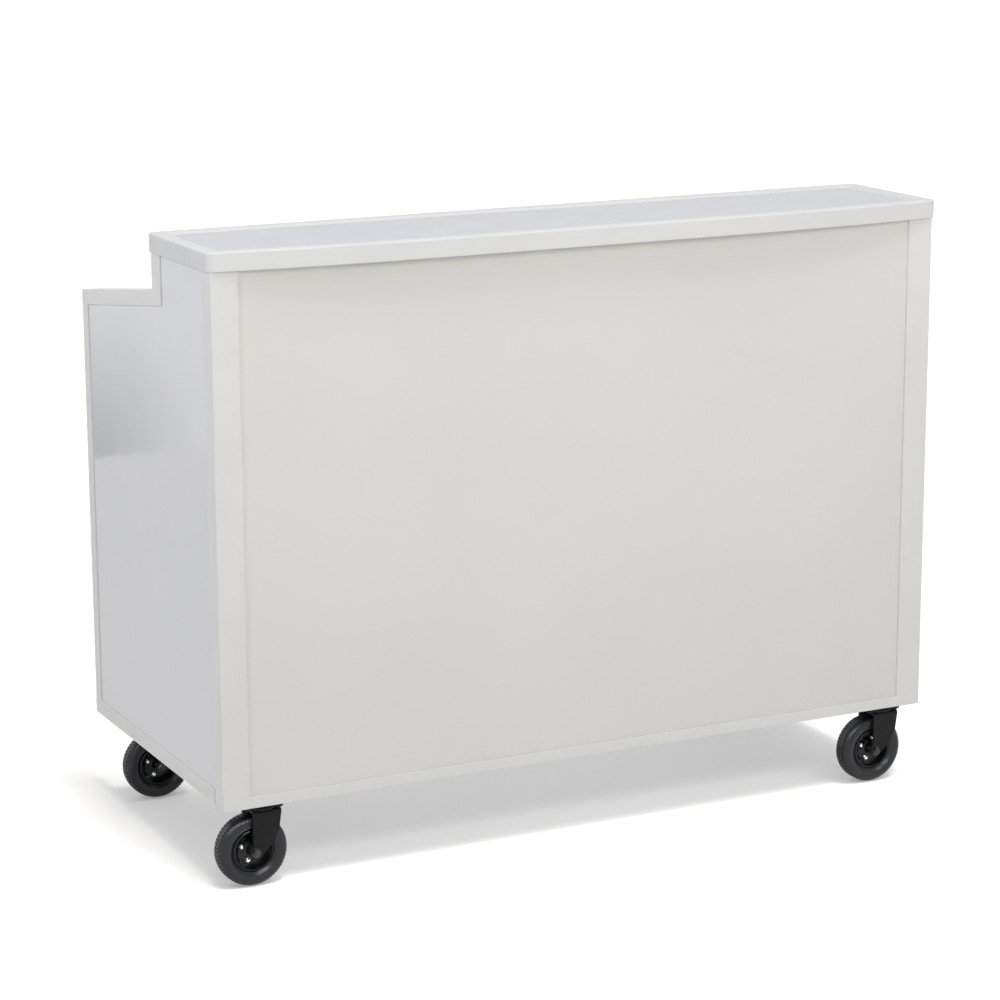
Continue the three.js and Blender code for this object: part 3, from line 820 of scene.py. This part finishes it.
@dataclass
class ShelfFlap:
    """A drop shelf stowed upright: the board, its hinge leaf, and the hinge rail on the uprights."""

    bench: Bench
    shelf: str
    knuckles: int = 9
    radius: float = 4.2
    pin: float = 2.0
    leaf: float = 1.5
    leaf_gap: float = 0.8
    leaf_lap: float = 1.0
    rail_steel: float = 2.5
    rail_drop: float = 7.0
    crank_foot: float = 11.0
    crank_heel: float = 6.0
    crank_nose: float = 0.6
    screw_drop: float = 3.0
    slack: float = 0.4
    board_edge: float = 1.6
    screw_step: float = 110.0
    margin: float = 35.0

    def build(self) -> None:
        """Makes the board, the leaf with its screws, and the rail with its screws."""
        bench, name = self.bench, f"{self.shelf}_shelf"
        board = polished(bench.copy(name), self.board_edge, 3)
        bench.fit(f"{name}_board", board, SHELF_FACE, bench.body(name), [name])
        axis = bench.joint(f"{name}_drop") / MM
        self.moving_leaf(f"{name}_hinge_leaf", axis)
        self.fixed_rail(f"{name}_hinge_rail", axis)

    def row(self, name: str, section: list[tuple[float, float]], axis: Vector, low: Vector,
            high: Vector, first: int) -> bpy.types.Mesh:
        """Lays a row of knuckles of one section along X.

        Args:
            name: CAD node that they belong to.
            section: Outline about the pin, as (y, z) in millimetres.
            axis: A point on the pin.
            low: Lowest corner of the hinge.
            high: Highest corner of the hinge.
            first: Number of the first knuckle.

        Returns:
            One mesh with every knuckle.
        """
        pitch = (high.x - low.x) / self.knuckles
        outline = [Vector((0, axis.y + u, axis.z + v)) * MM for u, v in section]
        one = prism(outline, X * (pitch - 2 * self.slack) * MM, name)
        one = polished(one, KNUCKLE_EDGE, 1, KNUCKLE_SHARP_DEG)
        start = X * (low.x + first * pitch + self.slack) * MM
        return self.bench.repeat(Repeat.ROW, one, ZINC, Count=(self.knuckles + 1 - first) // 2,
                                 Start=start, Step=X * 2 * pitch * MM)

    def screws(self, name: str, low: Vector, high: Vector, y: float, z: float) -> None:
        """Sets a row of flush screws along X on a face that looks to the rear."""
        length = high.x - low.x - 2 * self.margin
        count = 1 + int(length // self.screw_step)
        spot = Vector((0, y, z)) * MM
        head = polished(turned(countersunk(), spot, Y, 16, "screw"))
        row = self.bench.repeat(Repeat.ROW, head, ZINC, Count=count, Start=X * (low.x + self.margin) * MM,
                                Step=X * length / (count - 1) * MM)
        self.bench.fit(f"{name}_screws", row, ZINC, self.bench.body(name))

    def moving_leaf(self, name: str, axis: Vector) -> None:
        """Makes the leaf that carries the board: a strip with knuckles rolled round the pin."""
        low, high = (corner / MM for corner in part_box(name))
        foot = axis.z + self.radius + self.leaf_gap
        strip = [(high.y - self.leaf, foot), (high.y, foot), (high.y, high.z), (high.y - self.leaf, high.z)]
        section = [Vector((low.x, y, z)) * MM for y, z in strip]
        base = polished(prism(section, X * (high.x - low.x) * MM, name), STRIP_EDGE)
        inside = high.y - axis.y - self.leaf
        roll = [(-v * (high.y - axis.y) / self.radius, -u)
                for u, v in curl(self.radius, self.radius - inside, self.radius + self.leaf_lap)]
        rolls = self.row(name, roll, axis, low, high, first=1)
        self.bench.fit(f"{name}_strip", joined([base, rolls], name), ZINC, self.bench.body(name), [name])
        self.screws(name, low, high, high.y, (foot + high.z) / 2)

    def fixed_rail(self, name: str, axis: Vector) -> None:
        """Makes the rail on the uprights: a flat bar with cranked knuckles and the staked pin."""
        low, high = (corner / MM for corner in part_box(name))
        front, rear, head = low.y, low.y + self.rail_steel, axis.z - self.rail_drop
        strip = [(front, low.z), (rear, low.z), (rear, head), (front, head)]
        section = [Vector((low.x, y, z)) * MM for y, z in strip]
        base = polished(prism(section, X * (high.x - low.x) * MM, name), STRIP_EDGE)
        back, nose = front - axis.y, rear - axis.y + self.crank_nose
        roll = arc((0, 0), self.radius, -80, 165, 14)
        crank = [(back, -self.crank_foot), (nose, -self.crank_foot), *roll, (back, -self.crank_heel)]
        rolls = self.row(name, crank, axis, low, high, first=0)
        ends = ((0, low.x), (self.pin, low.x), (self.pin, high.x), (0, high.x))
        pin = polished(turned(ends, Vector((0, axis.y, axis.z)) * MM, X, 20, name))
        self.bench.fit(f"{name}_bar", joined([base, rolls, pin], name), ZINC, self.bench.body(name), [name])
        self.screws(name, low, high, rear, (low.z + head) / 2 - self.screw_drop)


@dataclass
class Caster:
    """One swivel caster: plate, ball race, bent fork, axle bolt, pressed rim and pneumatic tyre."""

    bench: Bench
    place: str
    plate: str
    steps: int = 96
    fork_gap: float = 49.0
    fork_steel: float = 4.5
    leg_lead: float = 5.0
    leg_tail: float = 52.0
    leg_end: float = 12.0
    fork_bend: float = 7.0
    crown: float = 5.6
    race: float = 4.0
    race_slack: float = 0.4
    plate_steel: float = 4.4
    plate_corner: float = 6.0
    plate_bolt_inset: float = 8.5
    pad_foot: float = 4.0
    pad_lip: float = 1.0
    pad_end: float = 5.0
    axle_radius: float = 5.0
    axle_head: float = 6.4
    web: float = 4.2
    bolt_circle: float = 21.6
    bolt_first_deg: float = 67.5
    bolts: int = 4
    valve_deg: float = 128.0
    valve_circle: float = 26.0
    lugs: int = 58
    tread_base: float = 66.3
    tread_taper: float = 0.88
    shoulder_share: float = 0.64
    middle_share: float = 0.7
    axle: Vector = field(init=False)
    king: Vector = field(init=False)
    swivel: str = field(init=False)
    wheel: str = field(init=False)
    wheel_radius: float = field(init=False)
    crown_top: float = field(init=False)
    crown_under: float = field(init=False)
    plate_under: float = field(init=False)

    def __post_init__(self) -> None:
        """Reads the caster's axes, bodies and heights from the frame."""
        bench = self.bench
        self.axle = bench.joint(f"{self.place}_wheel_roll") / MM
        self.king = bench.joint(f"{self.place}_swivel_turn") / MM
        self.swivel = bench.body(f"{self.place}_fork")
        self.wheel = bench.body(f"{self.place}_rim")
        self.wheel_radius = self.axle.z
        self.crown_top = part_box(f"{self.place}_fork")[1].z / MM
        self.crown_under = self.crown_top - self.crown
        self.plate_under = self.crown_top + self.race_slack + self.race

    def build(self) -> None:
        """Makes the caster from the plate down."""
        self.plate_and_race()
        self.fork()
        self.axle_bolt()
        self.rim()
        self.tyre()

    def about_axle(self, outline: Outline, name: str, steps: int = 0) -> bpy.types.Mesh:
        """Turns an outline of (radius, offset from the wheel's middle) about the axle."""
        return polished(turned(outline, self.axle * MM, Y, steps or self.steps, name), sharp_deg=32)

    def hex_bolt(self, spot: Vector, out: Vector, head: float, height: float,
                 washer: float) -> bpy.types.Mesh:
        """Makes a hexagon head on its washer.

        Args:
            spot: Where the washer sits, in millimetres.
            out: Direction that the head points.
            head: Radius over the corners.
            height: Height of the head with its washer.
            washer: Radius of the washer.

        Returns:
            One mesh in metres.
        """
        disc = ((0, 0), (washer - 0.2, 0), (washer, 0.2), (washer, 1.0), (washer - 0.3, 1.3), (0, 1.3))
        ring = turned(disc, spot * MM, out, 24, "washer")
        shape = ((0, 1.3), (head, 1.3), (head, height - 0.9), (head * 0.87, height), (0, height))
        nut = turned(shape, spot * MM, out, 6, "head")
        return joined([polished(ring), polished(nut, sharp_deg=20)], "bolt")

    def dome_nut(self, spot: Vector, out: Vector, radius: float) -> bpy.types.Mesh:
        """Makes a domed nut: a hexagon collar with a round cap."""
        hexagon = ((0, 0), (radius, 0), (radius, 2.6), (radius * 0.9, 3.2), (0, 3.2))
        collar = turned(hexagon, spot * MM, out, 6, "collar")
        cap = [(radius * 0.82 * math.cos(a), 3.0 + 3.6 * math.sin(a))
               for a in (math.radians(15 * i) for i in range(6))]
        dome = turned([(0, 2.8), (radius * 0.82, 2.8), *cap, (0, 6.6)], spot * MM, out, 24, "cap")
        return joined([polished(collar, sharp_deg=20), polished(dome)], "dome_nut")

    def plate_and_race(self) -> None:
        """Makes the top plate, the swivel's ball race with its kingpin, and the plate's bolts."""
        bench = self.bench
        body = bench.body(self.plate)
        low, high = (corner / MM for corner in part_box(self.plate))
        fixed = "front" in self.place
        top = high.z if fixed else self.plate_under + self.plate_steel
        flat = rounded_rect((low.x, low.y), (high.x, high.y), self.plate_corner, 5)
        loops = [[Vector((x, y, z)) * MM for x, y in flat] for z in (self.plate_under, top)]
        plate = polished(loft(loops, self.plate), 0.8)
        middle = Vector((self.king.x, self.king.y, 0)) * MM
        race_low = self.crown_top + self.race_slack
        race = ((7.2, race_low), (31, race_low), (33.6, race_low + 0.3), (34.4, race_low + 1.2),
                (34.8, race_low + 2.4), (36, race_low + 3.4), (36, self.plate_under + 0.5),
                (7.2, self.plate_under + 0.5))
        ring = polished(turned(race, middle, Z, 64, "race"))
        king = ((0, self.crown_under + 0.1), (5.8, self.crown_under + 0.1), (6.9, self.crown_under + 1.0),
                (6.9, self.plate_under), (0, self.plate_under))
        parts = [plate, ring, polished(turned(king, middle, Z, 24, "kingpin"))]
        if not fixed:
            parts.append(polished(self.pad(low, high), 0.6))
        bench.fit(f"{self.plate}_steel", joined(parts, self.plate), BLACK_STEEL, body, [self.plate])
        inset = self.plate_bolt_inset
        spots = [(x, y) for x in (low.x + inset, high.x - inset) for y in (low.y + inset, high.y - inset)]
        for number, (x, y) in enumerate(spots):
            bolt = self.hex_bolt(Vector((x, y, self.plate_under)), -Z, head=5.6, height=3.8, washer=6.4)
            bench.fit(f"{self.plate}_bolt_{number + 1}", bolt, BLACK_STEEL, body)

    def pad(self, low: Vector, high: Vector) -> bpy.types.Mesh:
        """Makes the spacer between a rear caster plate and the side's bottom rail."""
        rail_low, rail_high = (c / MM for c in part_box(f"{self.place.split('_')[1]}_side_bottom_rail"))
        flat = rounded_rect((max(low.x, rail_low.x + self.pad_lip), low.y + self.pad_end),
                            (min(high.x, rail_high.x - self.pad_lip), high.y - self.pad_end), 3.0, 4)
        heights = (self.plate_under + self.pad_foot, high.z)
        loops = [[Vector((x, y, z)) * MM for x, y in flat] for z in heights]
        return loft(loops, "pad")

    def fork(self) -> None:
        """Bends the fork from one strip: a round-cornered channel cut to the cheek's outline."""
        name = f"{self.place}_fork"
        inside, outside = self.fork_gap / 2, self.fork_gap / 2 + self.fork_steel
        top, under = self.crown_top, self.crown_under
        bend, tight = self.fork_bend, self.fork_bend - self.fork_steel
        floor = self.axle.z - self.leg_end - 2
        channel = [(-outside, floor), (-inside, floor)]
        channel += reversed(arc((-inside + tight, under - tight), tight, 90, 180, 5))
        channel += reversed(arc((inside - tight, under - tight), tight, 0, 90, 5))
        channel += [(inside, floor), (outside, floor)]
        channel += arc((outside - bend, top - bend), bend, 0, 90, 8)
        channel += arc((-outside + bend, top - bend), bend, 90, 180, 8)
        x0 = self.axle.x - self.leg_end - 5
        section = [Vector((x0, self.axle.y + u, v)) * MM for u, v in channel]
        strip = prism(section, X * (self.leg_end + self.leg_tail + 10) * MM, name)
        cheek = [(-self.leg_lead, top + 5), (-self.leg_lead, self.axle.z + 18),
                 (-self.leg_lead - 0.5, self.axle.z + 14.5), (-self.leg_end + 0.6, self.axle.z + 5)]
        cheek += arc((0, self.axle.z), self.leg_end, 172, 315, 16)
        start, pull, end = cheek[-1], (37.0, self.axle.z + 14), (47.0, self.axle.z + 42)
        for i in range(1, 13):
            t = i / 12
            cheek.append(tuple((1 - t) ** 2 * a + 2 * t * (1 - t) * b + t * t * c
                               for a, b, c in zip(start, pull, end)))
        cheek += [(self.leg_tail, top), (self.leg_tail, top + 5)]
        outline = [Vector((self.axle.x + u, self.axle.y - outside - 5, v)) * MM for u, v in cheek]
        cutter = drafted(prism(outline, Y * (2 * outside + 10) * MM, "cheek"))
        draft = drafted(strip)
        trim = draft.modifiers.new("trim", "BOOLEAN")
        trim.operation = "INTERSECT"
        trim.solver = "EXACT"
        trim.object = cutter
        pressing = evaluated(draft)
        bpy.data.objects.remove(cutter)
        self.bench.fit(f"{name}_pressing", polished(pressing, 0.9, 3), BLACK_STEEL, self.swivel, [name])

    def axle_bolt(self) -> None:
        """Makes the axle: a bolt through the fork with a hexagon at both ends."""
        name = f"{self.place}_axle"
        outside = self.fork_gap / 2 + self.fork_steel
        end = outside + 1
        shank = ((0, -end), (self.axle_radius, -end), (self.axle_radius, end), (0, end))
        parts = [self.about_axle(shank, name, 24)]
        for sign in (-1.0, 1.0):
            spot = self.axle + Y * sign * (outside + 0.2)
            parts.append(self.hex_bolt(spot, Y * sign, head=8.4, height=self.axle_head, washer=9.6))
            tip = self.axle + Y * sign * (outside + self.axle_head)
            stub = ((0, 0), (4.4, 0), (4.4, 1.4), (3.6, 2.2), (0, 2.2))
            parts.append(polished(turned(stub, tip * MM, Y * sign, 20, "stub")))
        self.bench.fit(f"{name}_bolt", joined(parts, name), OXIDE, self.swivel, [name])

    def rim(self) -> None:
        """Makes the split rim: two dished pressings on a hub tube, four bolts and the valve."""
        bench, name = self.bench, f"{self.place}_rim"
        half = ((5.4, 23), (9.4, 23), (10.2, 22.2), (10.6, 20), (11, 9), (12, 6.2), (14.4, 4.9),
                (18, 4.4), (25, 4), (26.6, 4.3), (29.4, 6.1), (32, 8.5), (34, 11.2), (35.2, 13.8),
                (35.9, 15.5), (36.7, 16.4), (37.6, 16.6), (38.8, 16.3), (39.8, 15.4), (39.7, 14.5),
                (38.8, 14), (36, 14))
        section = [*reversed(half), *((r, -off) for r, off in half)]
        bench.fit(f"{name}_pressing", self.about_axle(section, name), RIM_ENAMEL, self.wheel, [name])
        for side, sign in (("near", -1.0), ("far", 1.0)):
            spot = self.axle + Z * self.bolt_circle + Y * sign * self.web
            nut = self.dome_nut(spot, Y * sign, radius=5.7)
            nut.transform(Matrix.Translation(-self.axle * MM))
            first = math.radians(90 - self.bolt_first_deg)
            ring = bench.repeat(Repeat.RING, nut, BRIGHT_ZINC, Count=self.bolts,
                                Centre=self.axle * MM, Axis=Y, First=first)
            bench.fit(f"{name}_nuts_{side}", ring, BRIGHT_ZINC, self.wheel)
        self.valve()

    def valve(self) -> None:
        """Makes the tyre's valve, which leans out of the near pressing."""
        angle = math.radians(self.valve_deg)
        spoke = Vector((math.cos(angle), 0, math.sin(angle)))
        foot = self.axle + spoke * self.valve_circle - Y * 4.0
        stem = ((0, 0), (4.2, 0), (4.0, 1.6), (2.7, 2.6), (2.4, 9), (2.6, 9.2), (2.6, 13.4), (2.0, 14),
                (0, 14))
        lean = (-Y * 0.9 - spoke * 0.35).normalized()
        mesh = polished(turned(stem, foot * MM, lean, 16, "valve"))
        self.bench.fit(f"{self.place}_valve", mesh, RUBBER, self.wheel)

    def tyre(self) -> None:
        """Makes the tyre's casing and its ring of tread blocks."""
        bench, name = self.bench, f"{self.place}_tyre"
        half = ((36.3, 13.6), (40.3, 13.7), (40.7, 14.4), (41.6, 15.2), (43.4, 16.8), (45, 18.3), (46, 19.5),
                (46.6, 20.2), (47.5, 20.3), (48.1, 19.8), (49, 19.9), (51.6, 20.5), (54.6, 20.9),
                (57.4, 20.7), (59.8, 19.9), (61.8, 18.6), (63.8, 16.6), (65.2, 13.9), (65.9, 10.8),
                (66.2, 7.6), (66.4, 4))
        section = [*half, (66.4, 0), *((r, -off) for r, off in reversed(half))]
        bench.fit(f"{name}_casing", self.about_axle(section, name), RUBBER, self.wheel, [name])
        ring = bench.repeat(Repeat.RING, self.tread_block(), RUBBER, Count=self.lugs,
                            Centre=self.axle * MM, Axis=Y, First=0.0)
        bench.fit(f"{self.place}_tread", ring, RUBBER, self.wheel)

    def tread_block(self) -> bpy.types.Mesh:
        """Makes one pitch of the tread: two shoulder blocks and a staggered middle pair."""
        pitch = math.tau * self.wheel_radius / self.lugs
        shoulder = [(8.9, 65.4), (8.9, 67.7), (12.0, 67.1), (15.0, 65.8), (17.5, 63.8), (19.5, 61.1),
                    (20.3, 59.3), (19.6, 59.1)]
        middle = [(0.9, 65.6), (0.9, 68.0), (4.2, 67.9), (7.5, 67.7), (7.5, 65.6)]
        blocks = []
        for sign in (-1.0, 1.0):
            edge = [(off * sign, r) for off, r in shoulder]
            blocks.append(self.block(edge, 0.0, pitch * self.shoulder_share))
            inner = [(off * sign, r) for off, r in middle]
            blocks.append(self.block(inner, pitch / 2, pitch * self.middle_share))
        return joined(blocks, "tread")

    def block(self, outline: list[tuple[float, float]], shift: float, length: float) -> bpy.types.Mesh:
        """Makes one tread block above the axle from its outline across the tyre.

        Args:
            outline: (offset across the tyre, radius) points in millimetres.
            shift: How far round the tread the block sits.
            length: Its length round the tread at the base; the top is a little shorter.

        Returns:
            A closed mesh about the axle at the origin.
        """
        loops = []
        for end in (-0.5, 0.5):
            loop = []
            for off, radius in outline:
                taper = self.tread_taper if radius > self.tread_base else 1.0
                angle = (shift + end * length * taper) / self.wheel_radius
                loop.append(Vector((math.sin(angle) * radius, off, math.cos(angle) * radius)) * MM)
            loops.append(loop)
        return polished(loft(loops, "block"), sharp_deg=30)


class Reach(Enum):
    """What a lamp's light is let fall on."""

    ALL = "all"
    BAR = "bar"
    WHEELS = "wheels"


@dataclass(frozen=True)
class Softbox:
    """One studio lamp: where it hangs, what it is turned to, and how much light it gives."""

    name: str
    place: tuple[float, float, float]
    aim: tuple[float, float, float]
    size: tuple[float, float]
    watts: float
    colour: str
    mirrored: bool
    reach: Reach


SOFTBOXES = (
    Softbox("front_strip", (0.2, -1.9875, 1.7), (0.2, -0.3375, 1.35), (3.4, 0.5), 16.2, "#fffdfa", False,
            Reach.ALL),
    Softbox("left_fill", (-3.2, -1.4875, 2.5), (-0.75, -0.0875, 0.7), (0.8, 0.5), 22.5, "#eceffc", True,
            Reach.BAR),
    Softbox("wheel_strip", (-1.3, -1.8875, 2.2), (-0.3, -0.2975, 0.07), (2.4, 0.3), 60.0, "#eef2ff", True,
            Reach.WHEELS),
)


@dataclass
class Studio:
    """A pale floor, a soft high sun from the front, even light all round, and the camera."""

    place: tuple[float, float, float] = (-2.6312, -5.2546, 1.9509)
    azimuth_deg: float = 26.3695
    elevation_deg: float = 13.0266
    roll_deg: float = -0.2245
    lens: float = 109.41
    sensor: float = 36.0
    sight: float = 500.0
    ambient: float = 0.5
    backdrop: float = 1.07
    sun: float = 1.2
    sun_from: tuple[float, float, float] = (0.03, -0.29, 1.0)
    sun_spread_deg: float = 22.0
    wash: float = 0.6
    wash_spread_deg: float = 8.0
    sun_colour: str = "#fffcf7"
    sky_colour: str = "#f8fafe"
    card_low: tuple[float, float, float] = (-4.2, 2.5625, 0.183)
    card_high: tuple[float, float, float] = (-1.0, 2.5625, 2.4)
    card_core: tuple[float, float, float] = (-1.46, 2.5625, 0.2)
    card_fade: float = 0.42
    card_dark: float = 0.35
    card_bright: float = 1.5
    floor_size: float = 120.0
    floor_level: float = -0.0005
    floor_shown: str = "#f8f7f5"
    floor_bounce: str = "#c0c0c0"
    floor_glow: float = 0.25

    def build(self) -> None:
        """Sets the stage round the object."""
        scene = bpy.context.scene
        scene.view_settings.view_transform = "Standard"
        self.camera(scene)
        self.world(scene)
        floor = self.floor(scene)
        self.sun_lamp("key", self.sun, self.sun_spread_deg, scene)
        self.flag(self.sun_lamp("floor_wash", self.wash, self.wash_spread_deg, scene), [floor], "INCLUDE")
        for lamp in SOFTBOXES:
            holder = self.panel_lamp(lamp, scene)
            if lamp.reach is Reach.BAR:
                self.flag(holder, [floor], "EXCLUDE")
            elif lamp.reach is Reach.WHEELS:
                rolling = ("_rim_pressing", "_casing", "_tread")
                self.flag(holder, [o for o in scene.objects if o.name.endswith(rolling)], "INCLUDE")
        self.card(scene)

    def camera(self, scene: bpy.types.Scene) -> None:
        """Places the camera at the photograph's view."""
        turn, dip, roll = (math.radians(a) for a in (self.azimuth_deg, self.elevation_deg, self.roll_deg))
        ahead = Vector((math.sin(turn) * math.cos(dip), math.cos(turn) * math.cos(dip), -math.sin(dip)))
        level = Vector((math.cos(turn), -math.sin(turn), 0))
        rise = level.cross(ahead)
        right = level * math.cos(roll) + rise * math.sin(roll)
        up = rise * math.cos(roll) - level * math.sin(roll)
        data = bpy.data.cameras.new("camera")
        data.lens = self.lens
        data.sensor_width = self.sensor
        data.clip_end = self.sight
        holder = bpy.data.objects.new("camera", data)
        holder.matrix_world = Matrix((right, up, -ahead)).transposed().to_4x4()
        holder.location = self.place
        scene.collection.objects.link(holder)
        scene.camera = holder

    def sun_lamp(self, name: str, strength: float, spread_deg: float,
                 scene: bpy.types.Scene) -> bpy.types.Object:
        """Adds a lamp that shines from the sun's direction, with a given softness."""
        data = bpy.data.lights.new(name, "SUN")
        data.energy = strength
        data.angle = math.radians(spread_deg)
        data.color = srgb(self.sun_colour)[:3]
        lamp = bpy.data.objects.new(name, data)
        lamp.rotation_euler = (-Vector(self.sun_from)).to_track_quat("-Z", "Y").to_euler()
        scene.collection.objects.link(lamp)
        return lamp

    def panel_lamp(self, lamp: Softbox, scene: bpy.types.Scene) -> bpy.types.Object:
        """Hangs one softbox out of the camera's sight."""
        data = bpy.data.lights.new(lamp.name, "AREA")
        data.shape = "RECTANGLE"
        data.size, data.size_y = lamp.size
        data.energy = lamp.watts
        data.color = srgb(lamp.colour)[:3]
        holder = bpy.data.objects.new(lamp.name, data)
        holder.location = lamp.place
        holder.rotation_euler = (Vector(lamp.aim) - Vector(lamp.place)).to_track_quat("-Z", "Y").to_euler()
        holder.visible_camera = False
        holder.visible_glossy = lamp.mirrored
        scene.collection.objects.link(holder)
        return holder

    def flag(self, lamp: bpy.types.Object, surfaces: list[bpy.types.Object], state: str) -> None:
        """Keeps a lamp's light on, or off, some surfaces, as a snoot or a flag on a stand would.

        Args:
            lamp: The lamp's object.
            surfaces: The surfaces that are meant.
            state: INCLUDE to light only these, EXCLUDE to light all but these.
        """
        group = bpy.data.collections.new(f"{lamp.name}_flag")
        for number, surface in enumerate(surfaces):
            group.objects.link(surface)
            group.collection_objects[number].light_linking.link_state = state
        lamp.light_linking.receiver_collection = group

    def card(self, scene: bpy.types.Scene) -> None:
        """Stands a grey card behind the left side, out of view, for the gloss panel to mirror."""
        low, high = Vector(self.card_low), Vector(self.card_high)
        work = bmesh.new()
        work.faces.new([work.verts.new((x, low.y, z)) for x, z in
                        ((low.x, low.z), (high.x, low.z), (high.x, high.z), (low.x, high.z))])
        mesh = bpy.data.meshes.new("card")
        work.to_mesh(mesh)
        work.free()
        material = bpy.data.materials.new("grey_card")
        material.use_nodes = True
        tree = material.node_tree
        tree.nodes.clear()
        place = node(tree, "ShaderNodeTexCoord").outputs["Object"]
        away = node(tree, "ShaderNodeVectorMath", {0: place, 1: self.card_core}, operation="DISTANCE")
        fade = node(tree, "ShaderNodeMapRange",
                    {"Value": away.outputs["Value"], "From Max": self.card_fade,
                     "To Min": self.card_dark, "To Max": self.card_bright})
        glow = node(tree, "ShaderNodeEmission", {"Strength": fade.outputs["Result"]})
        node(tree, "ShaderNodeOutputMaterial", {"Surface": glow.outputs[0]})
        mesh.materials.append(material)
        card = bpy.data.objects.new("card", mesh)
        card.visible_camera = card.visible_diffuse = card.visible_shadow = False
        scene.collection.objects.link(card)

    def seen(self, tree: bpy.types.NodeTree) -> bpy.types.NodeSocket:
        """Tells rays that show the background, seen straight, mirrored or through glass, from light."""
        path = node(tree, "ShaderNodeLightPath").outputs
        two = node(tree, "ShaderNodeMath", {0: path["Is Camera Ray"], 1: path["Is Glossy Ray"]},
                   operation="MAXIMUM")
        three = node(tree, "ShaderNodeMath", {0: two.outputs[0], 1: path["Is Transmission Ray"]},
                     operation="MAXIMUM")
        return three.outputs[0]

    def world(self, scene: bpy.types.Scene) -> None:
        """Gives even, slightly cool light, and a white background."""
        world = bpy.data.worlds.new("studio")
        world.use_nodes = True
        tree = world.node_tree
        tree.nodes.clear()
        strength = node(tree, "ShaderNodeMapRange",
                        {"Value": self.seen(tree), "To Min": self.ambient, "To Max": self.backdrop})
        sky = node(tree, "ShaderNodeBackground",
                   {"Color": srgb(self.sky_colour), "Strength": strength.outputs["Result"]})
        node(tree, "ShaderNodeOutputWorld", {"Surface": sky.outputs[0]})
        scene.world = world

    def floor(self, scene: bpy.types.Scene) -> bpy.types.Object:
        """Lays a pale floor that reads white and keeps the shadow."""
        half = self.floor_size / 2
        work = bmesh.new()
        work.faces.new([work.verts.new((x, y, self.floor_level))
                        for x, y in ((-half, -half), (half, -half), (half, half), (-half, half))])
        mesh = bpy.data.meshes.new("floor")
        work.to_mesh(mesh)
        work.free()
        material = bpy.data.materials.new("painted_floor")
        material.use_nodes = True
        tree = material.node_tree
        tree.nodes.clear()
        tone = node(tree, "ShaderNodeMix", {0: self.seen(tree), 6: srgb(self.floor_bounce),
                                            7: srgb(self.floor_shown)}, data_type="RGBA")
        paint = node(tree, "ShaderNodeBsdfDiffuse", {"Color": tone.outputs[2]})
        lift = node(tree, "ShaderNodeMath", {0: self.seen(tree), 1: self.floor_glow}, operation="MULTIPLY")
        glow = node(tree, "ShaderNodeEmission", {"Strength": lift.outputs[0]})
        both = node(tree, "ShaderNodeAddShader", {0: paint.outputs[0], 1: glow.outputs[0]})
        node(tree, "ShaderNodeOutputMaterial", {"Surface": both.outputs[0]})
        mesh.materials.append(material)
        floor = bpy.data.objects.new("floor", mesh)
        scene.collection.objects.link(floor)
        return floor


def main() -> None:
    """Builds the bar over its frame, piece by piece, and sets the stage."""
    logging.basicConfig(level=logging.INFO, format="%(message)s")
    bench = Bench(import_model())
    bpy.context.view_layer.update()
    FrontFrame(bench).build()
    BarTop(bench).build()
    for hand in HANDS:
        SideFrame(bench, hand).build()
        SideHinge(bench, hand).build()
        Caster(bench, f"front_{hand}", f"front_{hand}_caster_plate").build()
        Caster(bench, f"rear_{hand}", f"{hand}_side_caster_plate").build()
    for shelf in ("work", "store"):
        ShelfFlap(bench, shelf).build()
    Studio().build()


if __name__ == "__main__":
    main()
